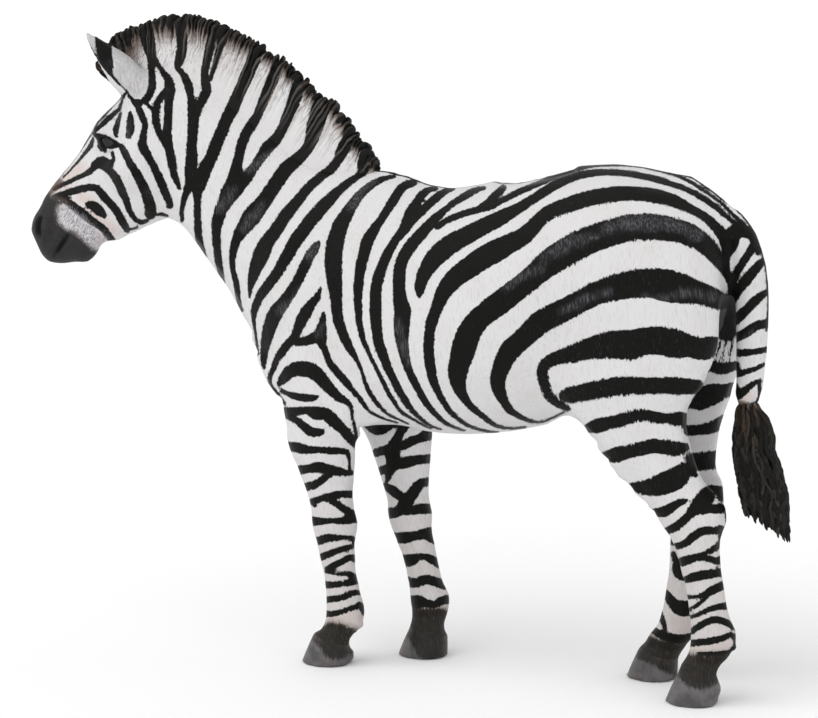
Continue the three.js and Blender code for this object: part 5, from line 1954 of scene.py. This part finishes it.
    def mark(self) -> None:
        """Paints the stripes, washes and painted shade as numbers on the vertices."""
        for name, hoof in self.hooves.items():
            q = VIEW.draw(places(hoof))
            self.layer(hoof, "foot", to_patches(NEAR_FEET if name.endswith("left") else FAR_FEET, q))
        p = places(self.obj)
        x, y, z = p.T
        near, exact, seen = VIEW.draw(turned_over(p)), VIEW.draw(mirrored(p)), VIEW.draw(p)
        tail = smoothstep(*AT.tail_start, x) * smoothstep(*AT.tail_half, np.abs(y))
        ear = smoothstep(*AT.ear_edge, EAR_PATCH.distance(exact)) * smoothstep(*AT.ear_root, z)
        stripe = self.stripes(p, near, seen, tail)
        stripe += ear * (EAR_MARKS.distance(exact) - stripe)
        face = smoothstep(*AT.face, x)
        paint(self.obj, "stripe", stripe)
        paint(self.obj, "brush", self.dryness(exact, z, face))
        paint(self.obj, "ear", ear)
        # Greyer towards the bottom, fading in below 34 mm.
        paint(self.obj, "low_grey", smoothstep(*AT.low_grey_height, z) * 0.7)
        paint(self.obj, "wear", smoothstep(*AT.wear, WEAR_MARKS.distance(exact)) + 0.2 * face)
        # Painted shade, kept to the muzzle and to the far side's rear outside the tail.
        painted_shade = smoothstep(0.0, 1.0, np.maximum(y * (x > 30.0) * (1.0 - tail), -44.0 - x))
        paint(self.obj, "painted_shade", smoothstep(*AT.painted_shade, PAINTED_SHADE_MARKS.distance(seen)) * painted_shade)
        paint(self.obj, "rose", smoothstep(*AT.rose, ROSE_MARKS.distance(seen)) * 0.55)
        paint(self.obj, "umber", smoothstep(*AT.umber, UMBER_MARKS.distance(seen)))
        self.layer(self.obj, "muzzle", MUZZLE_PATCH.distance(near))
        self.layer(self.obj, "frost", np.where(x < -40.0, FROST_PATCH.distance(near), LAYER_REACH))
        foot = np.where(y < 0, to_patches(NEAR_FEET, seen), to_patches(FAR_FEET, seen))
        self.layer(self.obj, "foot", foot)

    def layer(self, obj: bpy.types.Object, name: str, distance: np.ndarray) -> None:
        """Stores a distance to a patch's outline, within reach."""
        paint(obj, name, distance.clip(-LAYER_REACH, LAYER_REACH))

    def stripes(self, p: np.ndarray, near: np.ndarray, seen: np.ndarray, tail: np.ndarray) -> np.ndarray:
        """Measures the distance to the stripes, with the far legs' own where they show.

        Args:
            p: The vertices in mm.
            near: Their picture places, folded past the back's edge.
            seen: Their picture places as they are.
            tail: 1 on the tail.

        Returns:
            The distance to the nearest stripe's edge; inside is negative.
        """
        x, y, z = p.T
        stripe = np.minimum(BODY_MARKS.distance(near), TAIL_MARKS.distance(near))
        right = smoothstep(*AT.right, y)
        edge = seen[:, 0] + 0.33 * (seen[:, 1] - 330.0).clip(0)
        behind = smoothstep(*AT.behind_edge, edge) * smoothstep(*AT.behind_top, seen[:, 1])
        behind *= smoothstep(*AT.behind_start, x) * (1.0 - tail)
        behind *= smoothstep(*AT.behind_inner, y) * smoothstep(*AT.behind_outer, y)
        inner = smoothstep(*AT.inner_leg, y) * smoothstep(*AT.inner_leg_height, z)
        fore = right * smoothstep(*AT.far_fore, x) * smoothstep(*AT.far_fore_height, z)
        hind = right * smoothstep(*AT.far_hind, x) * np.maximum(behind, inner)
        for marks, share in ((FAR_FORE_MARKS, fore), (FAR_HIND_MARKS, hind)):
            stripe += share * (marks.distance(seen) - stripe)
        spine = smoothstep(*AT.spine_half, np.abs(y)) * smoothstep(*AT.spine_height, z)
        spine *= smoothstep(*AT.spine_front, x) * smoothstep(*AT.spine_rear, x)
        return np.minimum(stripe, 4.0 - 6.0 * spine)

    def dryness(self, exact: np.ndarray, z: np.ndarray, face: np.ndarray) -> np.ndarray:
        """Finds how dry the brush was: most on the haunch, least on the barrel and the face.

        Args:
            exact: The vertices' picture places, folded to the left.
            z: Their height in mm.
            face: 1 on the face.

        Returns:
            The dryness, 0 to 1.
        """
        across, down = exact.T
        barrel = smoothstep(*AT.barrel_front, across) * smoothstep(*AT.barrel_rear, across)
        barrel *= smoothstep(*AT.barrel_height, z)
        haunch = smoothstep(*AT.haunch_front, across) * smoothstep(*AT.haunch_rear, across)
        haunch *= smoothstep(*AT.haunch_height, z)
        crown = smoothstep(*AT.crown, down - 0.25 * (across - 660.0).clip(0))
        return 0.4 + 0.6 * haunch * crown - 0.25 * barrel - 0.25 * face

    def dress(self, material: bpy.types.Material) -> None:
        """Finishes the piece."""
        dress(self.obj, material, FLESH)


@dataclass
class Eyes:
    """The two glossy eyeballs."""

    segments: int = 64
    balls: list[bpy.types.Object] = field(init=False, default_factory=list)

    def build(self) -> None:
        """Makes both balls, with the iris marked on them."""
        pupil = VIEW.draw(EYE.centre(HANDS[0])[None] + np.array([[0.0, -EYE.radius, 0.0]]))
        for hand, name in zip(HANDS, ("left", "right")):
            obj = ball(f"eyeball_{name}", EYE.centre(hand), EYE.radius, self.segments)
            q = VIEW.draw(mirrored(places(obj)))
            paint(obj, "iris", np.linalg.norm(q - pupil, axis=1) / 10.0)
            self.balls.append(obj)

    def dress(self) -> None:
        """Finishes the pieces."""
        for obj, node in zip(self.balls, ("eye_left", "eye_right")):
            dress(obj, EyeGloss(f"eye_gloss_{node}").build(), (node,))


def rows_at(rows: tuple, at: np.ndarray) -> np.ndarray:
    """Reads rows of numbers along a smooth curve through them.

    Args:
        rows: The rows, all of one length.
        at: Where to read, from 0 at the first row to 1 at the last.

    Returns:
        One row for each place read.
    """
    q = extended(np.array(rows, float))
    place = np.clip(at, 0.0, 1.0) * (len(rows) - 1)
    i = np.minimum(place.astype(int), len(rows) - 2)
    return curve(q[i], q[i + 1], q[i + 2], q[i + 3], (place - i)[:, None])


def grid_faces(rows: int, columns: int) -> list[list[int]]:
    """Lists the faces of a closed tube of points, row by row.

    Args:
        rows: How many rings it has.
        columns: How many points each ring has.

    Returns:
        The quads round it, and its two end faces.
    """
    i, j = np.meshgrid(np.arange(rows - 1), np.arange(columns), indexing="ij")
    k = (j + 1) % columns
    here, above = i * columns, (i + 1) * columns
    faces = np.stack([here + j, here + k, above + k, above + j], -1).reshape(-1, 4).tolist()
    last = (rows - 1) * columns
    return faces + [list(range(columns - 1, -1, -1)), [last + k for k in range(columns)]]


def wave(place: np.ndarray, size: float, pitch: float, phase: np.ndarray | float) -> np.ndarray:
    """Returns a sine wave along a place."""
    return size * np.sin(place * pitch + phase)


@dataclass(frozen=True)
class Row:
    """One side of the crest: its points in mm and its layers, and how far each point is below the tips."""

    points: np.ndarray
    relief: np.ndarray
    strand: np.ndarray
    tip: np.ndarray


@dataclass
class Mane:
    """The upright moulded crest: many locks side by side, from the forelock to the withers."""

    ribs: tuple[tuple[float, float, float, float], ...] = (  # picture places of root and tip
        (126, 92, 112, 80), (121, 84, 101, 71), (118, 75, 98.5, 62), (117, 68, 103, 51),
        (118, 64, 111, 43), (124, 65, 116, 36), (136, 67, 126, 28.5), (150, 68, 143, 24),
        (162, 70, 159, 18), (180, 72, 181, 15), (195, 77, 203, 18), (207, 84, 222, 25),
        (220, 95, 240, 34), (234, 108, 259, 44), (250, 121, 278, 55.5), (266, 135, 297.5, 71),
        (284, 150, 317.5, 91), (302, 159, 336.5, 104), (320, 167, 350, 122), (338, 173, 361, 139),
        (352, 177, 371, 148), (362, 180, 376, 158), (374, 184, 381, 168),
    )
    along: int = 760
    up: int = 56
    sunk: float = 0.35  # share of the height that is buried at the root
    root_half: float = 1.75
    tip_half: float = 0.78
    inset: float = 0.2
    lock: tuple[float, float] = (0.5, 1.5)  # narrowest and widest lock, mm
    most_locks: int = 200
    hair: float = 0.21  # how far apart the fine hairs are, mm
    hollow: float = 0.92  # how deep the parting between two locks is
    front_end: tuple[float, float] = (0.0, 0.02)  # shares of the length where the ends close
    rear_end: tuple[float, float] = (1.0, 0.965)
    rounded: float = 0.1  # share of the height that is rounded at the tip
    shown: tuple[float, float] = (0.12, 0.6)  # shares of the height where the locks' shades fade in
    forelock: tuple[float, float] = (146.0, 136.0)  # picture
    thin_front: tuple[float, float] = (-41.0, -45.5)
    thick_rear: tuple[float, float] = (-32.0, -17.0)
    seed: int = 7
    obj: bpy.types.Object = field(init=False)

    def locks(self, length: np.ndarray, rng: np.random.Generator) -> tuple[np.ndarray, np.ndarray]:
        """Parts a length into locks.

        Args:
            length: Places along the crest in mm.
            rng: The random draws.

        Returns:
            Each place's share across its lock, -1 to 1, and its lock's random number.
        """
        widths = rng.uniform(*self.lock, self.most_locks)
        ends = np.concatenate([[0.0], np.cumsum(widths)])
        index = np.searchsorted(ends, length, side="right") - 1
        share = (length - ends[index]) / widths[index] * 2.0 - 1.0
        return share, rng.random(self.most_locks)[index]

    def build(self) -> None:
        """Models the crest as one closed mesh."""
        rng = np.random.default_rng(self.seed)
        u = np.linspace(0.0, 1.0, self.along)
        line = rows_at(self.ribs, u)
        root, tip = VIEW.place(line[:, :2]), VIEW.place(line[:, 2:])
        sides = [self.side(hand, u, root, tip, rng) for hand in HANDS]
        grid = np.concatenate([side.points for side in sides], 1)
        columns = grid.shape[1]
        faces = grid_faces(self.along, columns)
        self.obj = mesh_object("mane_hair", grid.reshape(-1, 3), faces)
        q = VIEW.draw(mirrored(places(self.obj)))
        paint(self.obj, "stripe", BODY_MARKS.distance(q))
        paint(self.obj, "front", smoothstep(*self.forelock, q[:, 0]))
        front = smoothstep(*self.thin_front, np.repeat(tip[:, 0], columns))
        rear = smoothstep(*self.thick_rear, np.repeat(tip[:, 0], columns))
        below = np.concatenate([side.tip for side in sides], 1).ravel()
        paint(self.obj, "tip", below * (1.0 - 0.55 * front) * (1.0 + 0.9 * rear))
        bake_map(self.obj, np.tile(np.arange(columns) / columns, self.along), np.repeat(u, columns))
        paint(self.obj, "relief", np.concatenate([side.relief for side in sides], 1).ravel())
        paint(self.obj, "strand", np.concatenate([side.strand for side in sides], 1).ravel())

    def side(
        self, hand: float, u: np.ndarray, root: np.ndarray, tip: np.ndarray, rng: np.random.Generator
    ) -> Row:
        """Models one side of the crest.

        Args:
            hand: -1 on the left and 1 on the right.
            u: Shares along the crest.
            root: The root line in mm.
            tip: The tip line in mm.
            rng: The random draws for the fine hairs.

        Returns:
            The side, whose columns run round the crest.
        """
        steps = np.linalg.norm(np.diff(tip, axis=0), axis=1)
        length = np.concatenate([[0.0], np.cumsum(steps)])
        v = np.linspace(-self.sunk, 1.0, self.up)[None, :]
        rise = np.clip(v, 0.0, 1.0)
        long = u[:, None]
        sway = wave(v, 0.26, 5.0, long * 60.0) + wave(v, 0.16, 13.0, long * 131.0)
        at = np.clip(length[:, None] + sway * rise, 0.0, length[-1])
        share, chance = self.locks(at, np.random.default_rng(self.seed + (hand > 0)))
        ridge = np.sqrt(np.clip(1.0 - self.hollow * share**2, 0.0, 1.0))
        hairs = np.arange(0.0, length[-1] + 1.0, self.hair)
        fine = np.interp(at, hairs, rng.random(len(hairs)))
        half = self.root_half + (self.tip_half - self.root_half) * rise**1.3
        knot = (wave(v, 0.09, 38.0, chance * 40.0) + wave(v, 0.07, 17.0, chance * 90.0)) * rise**1.2
        depth = (0.02 + 0.49 * rise**1.3) * ridge + 0.15 * rise * fine + 0.3 * (chance - 0.5) * rise + knot
        last = np.clip((v - 1.0 + self.rounded) / self.rounded, 0.0, 1.0)
        round_tip = np.sqrt(np.clip(1.0 - last**2, 0.0, 1.0))
        closed = np.minimum(smoothstep(*self.front_end, u), smoothstep(*self.rear_end, u))
        reach = v * (0.965 + 0.02 * rise) + rise**4 * (0.1 * (ridge - 0.75) + 0.085 * (chance - 0.5))
        p = root[:, None, :] + reach[..., None] * (tip - root)[:, None, :]
        p[..., 1] = hand * ((half + depth - self.inset) * round_tip * closed[:, None])
        shown = smoothstep(*self.shown, np.clip(reach, 0.0, 1.0))
        relief = 1.0 - (1.0 - ridge * (0.75 + 0.25 * fine)) * shown
        strand = 0.5 + (fine - 0.5) * shown
        below = (1.0 - reach) * np.linalg.norm(tip - root, axis=1)[:, None]
        order = slice(None, None, -1 if hand > 0 else 1)
        return Row(p[:, order], relief[:, order], strand[:, order], below[:, order])

    def dress(self, material: bpy.types.Material) -> None:
        """Finishes the piece."""
        dress(self.obj, material, ("mane",))


@dataclass(frozen=True)
class Lock:
    """One tube of the tuft: its line in mm, its radius in mm, and whether it is the core."""

    path: np.ndarray
    radius: float
    core: bool


@dataclass
class TailTuft:
    """The moulded brush at the end of the tail, of wavy locks round a core."""

    outline: tuple[tuple[float, float, float, float], ...] = (  # picture height and edges, depth in mm
        (402, 740, 758.5, 1.4), (410, 736.5, 762.5, 1.9), (420, 735.5, 769, 2.2), (435, 734, 773, 2.5),
        (450, 734, 774.5, 2.7), (465, 735.5, 780, 2.7), (480, 738, 784, 2.6), (495, 740.5, 787.5, 2.4),
        (510, 743.5, 788, 2.0), (525, 747, 788.5, 1.6), (542, 751, 791, 0.9),
    )
    ends: tuple[float, float] = (514.0, 542.0)  # where the front and rear locks stop
    uneven: float = 3.0  # how far a lock's end strays from there
    layers: tuple[tuple[int, float, float], ...] = (  # locks a side, radius, how far out
        (19, 0.42, 1.0), (15, 0.34, 1.12), (11, 0.28, 1.2),
    )
    core: tuple[float, ...] = (1.4, 2.2, 2.6, 2.6, 2.2, 1.2, 0.3)  # radii down the core, mm
    core_stop: float = 0.93
    core_share: float = 0.82
    edge: float = 0.97  # how near the outline the outermost locks lie
    base_start: tuple[float, float] = (0.0, 0.05)  # shares of the height for the first layer
    loose_start: tuple[float, float] = (0.05, 0.6)  # and for the others
    loose_run: tuple[float, float] = (0.35, 0.75)
    stray: float = 0.05
    thickness: tuple[float, float] = (0.85, 1.15)
    slow_wave: tuple[float, float] = (9.0, 15.0)
    quick_wave: tuple[float, float] = (20.0, 32.0)
    turn: float = 6.3
    tip_from: float = 400.0  # picture height where the brown root ends
    rings: int = 46
    sides: int = 8
    seed: int = 11
    obj: bpy.types.Object = field(init=False)

    def path(
        self, share: float, side: float, out: float, rng: np.random.Generator, run: tuple[float, float]
    ) -> np.ndarray:
        """Draws one lock's centre line.

        Args:
            share: Where it lies, -1 at the front edge and 1 at the rear edge.
            side: -1 on the left and 1 on the right.
            out: How far out it stands.
            rng: The random draws.
            run: The shares of its height where it starts and stops.

        Returns:
            The line in mm.
        """
        stray = rng.uniform(-self.uneven, self.uneven)
        low = self.ends[0] + (self.ends[1] - self.ends[0]) * (share + 1) / 2 + stray
        first = self.outline[0][0]
        t = np.linspace(*run, self.rings)
        height = first + (low - first) * t
        known, shares = [row[0] for row in self.outline], np.linspace(0, 1, len(self.outline))
        _, left, right, thick = rows_at(self.outline, np.interp(height, known, shares)).T
        bend = wave(t, 0.08, rng.uniform(*self.slow_wave), rng.uniform(0, self.turn))
        bend = bend + wave(t, 0.07, rng.uniform(*self.quick_wave), rng.uniform(0, self.turn))
        s = np.clip(share + bend, -1.0, 1.0)
        across = left + (right - left) * (0.5 + 0.47 * s * (0.94 + 0.06 * out))
        deep = side * thick * np.sqrt(np.clip(1.03 - s**2, 0.0, 1.0)) * out * 0.86
        return VIEW.place(np.stack([across, height], 1), deep)

    def tube(self, lock: Lock) -> np.ndarray:
        """Places the rings of a closed tube along a lock's line.

        Args:
            lock: The lock.

        Returns:
            The points in mm, ring by ring.
        """
        run = np.gradient(lock.path, axis=0)
        run /= np.linalg.norm(run, axis=1, keepdims=True)
        side = np.cross(run, [0.0, 1.0, 0.0])
        side /= np.linalg.norm(side, axis=1, keepdims=True)
        other = np.cross(run, side)
        angle = self.angles()[None, :, None]
        ring = np.cos(angle) * side[:, None] + np.sin(angle) * other[:, None]
        return (lock.path[:, None] + ring * self.radii(lock)[:, None, None]).reshape(-1, 3)

    def angles(self) -> np.ndarray:
        """Returns the angles round a ring, in radians."""
        return np.arange(self.sides) / self.sides * 2 * math.pi

    def radii(self, lock: Lock) -> np.ndarray:
        """Finds how thick a lock is along its line.

        Args:
            lock: The lock.

        Returns:
            The radii in mm.
        """
        t = np.linspace(0.0, 1.0, self.rings)
        if lock.core:
            marks = np.arange(len(self.core))[:, None]
            shares = np.clip(1 - np.abs(t * (len(self.core) - 1) - marks), 0, 1)
            return np.array(self.core) @ shares * self.core_share
        swell = np.sqrt(np.clip(np.minimum(t * 5 + 0.06, (1 - t) * 7.0 + 0.02), 0, 1))
        phase = 40.0 * abs(float(lock.path[0, 0])) + 90.0 * lock.radius
        return lock.radius * swell * (1.0 + wave(t, 0.14, 34.0, phase) + wave(t, 0.08, 71.0, 2.0 * phase))

    def locks(self, rng: np.random.Generator) -> list[Lock]:
        """Draws the core and every lock round it.

        Args:
            rng: The random draws.

        Returns:
            The core, then the locks, layer by layer.
        """
        made = [Lock(self.path(0.0, 0.0, 1.0, rng, (0.0, self.core_stop)), 1.0, True)]
        for number, radius, out in self.layers:
            base = out == 1.0
            for side in HANDS:
                for share in np.linspace(-self.edge, self.edge, number):
                    start = rng.uniform(*(self.base_start if base else self.loose_start))
                    stop = 1.0 if base else min(1.0, start + rng.uniform(*self.loose_run))
                    place = share + rng.uniform(-self.stray, self.stray)
                    path = self.path(place, side, out, rng, (start, stop))
                    made.append(Lock(path, radius * rng.uniform(*self.thickness), False))
        return made

    def build(self) -> None:
        """Models the core and the locks as one mesh."""
        rng = np.random.default_rng(self.seed)
        locks = self.locks(rng)
        each = self.rings * self.sides
        tube = grid_faces(self.rings, self.sides)
        faces = [[k + each * i for k in face] for i in range(len(locks)) for face in tube]
        points = np.vstack([self.tube(lock) for lock in locks])
        high = np.tile(0.5 + 0.5 * np.abs(np.sin(self.angles())), self.rings)
        self.obj = mesh_object("tail_tuft_hair", points, faces)
        paint(self.obj, "strand", np.repeat([rng.random() for _ in locks], each))
        paint(self.obj, "relief", np.concatenate([high * (not lock.core) for lock in locks]))
        paint(self.obj, "tip", (VIEW.draw(places(self.obj))[:, 1] - self.tip_from) * 0.14)
        cell = np.repeat(np.arange(len(locks)), each)
        across = np.tile(np.arange(self.sides) / self.sides, len(locks) * self.rings)
        along = np.tile(np.repeat(np.linspace(0.0, 1.0, self.rings), self.sides), len(locks))
        bake_map(self.obj, across, along, cell, math.ceil(math.sqrt(len(locks))))

    def dress(self, material: bpy.types.Material) -> None:
        """Finishes the piece."""
        dress(self.obj, material, ("tail_tuft",))


@dataclass
class Floor:
    """The plain pale floor, and the soft lights over it."""

    size: float = 60.0
    ambient: float = 0.72
    horizon: float = 1.12
    horizon_height: tuple[float, float] = (0.12, 0.4)  # where the sky fades from one to the other
    lamps: tuple[tuple[str, float, float, float, float], ...] = (  # azimuth, height, spread, strength
        ("key", -38.0, 54.0, 50.0, 1.03), ("fill", 80.0, 35.0, 70.0, 0.2), ("front", 8.0, 10.0, 60.0, 0.15),
    )

    def build(self) -> None:
        """Makes the floor, the world's light and the lamps."""
        bpy.ops.mesh.primitive_plane_add(size=self.size, location=(0, 0, 0))
        floor = bpy.context.object
        floor.name = "floor"
        floor.data.materials.append(FloorPaint().build())
        self.light_world()
        for lamp in self.lamps:
            self.add_lamp(*lamp)

    def light_world(self) -> None:
        """Makes the white sky, which is brighter near the horizon."""
        world = bpy.data.worlds.new("studio")
        bpy.context.scene.world = world
        n = Nodes(world, "Background")
        n.feed(n.shader, "Color", WHITE)
        place = n.add("ShaderNodeTexCoord", output="Generated")
        height = n.add("ShaderNodeSeparateXYZ", inputs={0: place}, output="Z")
        values = {"Value": height, "To Min": self.horizon, "To Max": self.ambient}
        values |= zip(("From Min", "From Max"), self.horizon_height)
        strength = n.add("ShaderNodeMapRange", {"interpolation_type": "SMOOTHSTEP"}, values, "Result")
        n.feed(n.shader, "Strength", strength)

    def add_lamp(self, name: str, azimuth: float, height: float, spread: float, power: float) -> None:
        """Adds one soft sun.

        Args:
            name: Its name.
            azimuth: Where it stands, in degrees round from the front.
            height: How high it stands, in degrees.
            spread: How soft it is, in degrees.
            power: Its strength.
        """
        data = bpy.data.lights.new(name, "SUN")
        data.angle = math.radians(spread)
        data.energy = power
        lamp = bpy.data.objects.new(name, data)
        a, e = math.radians(azimuth), math.radians(height)
        away = Vector((math.sin(a) * math.cos(e), -math.cos(a) * math.cos(e), math.sin(e)))
        lamp.location = away
        lamp.rotation_euler = away.to_track_quat("Z", "Y").to_euler()
        bpy.context.scene.collection.objects.link(lamp)


def main() -> None:
    """Builds every piece in order."""
    logging.basicConfig(level=logging.INFO, format="%(message)s")
    bpy.context.scene.view_settings.view_transform = "Standard"
    VIEW.build()
    Floor().build()
    skin = Skin()
    skin.build()
    skin.mark()
    skin.dress(StripedPaint().build())
    for node, hoof in skin.hooves.items():
        dress(hoof, HornPaint(f"hoof_paint_{node}").build(), (node,))
    eyes = Eyes()
    eyes.build()
    eyes.dress()
    mane = Mane()
    mane.build()
    mane.dress(ManePaint().build())
    tuft = TailTuft()
    tuft.build()
    tuft.dress(TuftPaint().build())


if __name__ == "__main__":
    main()
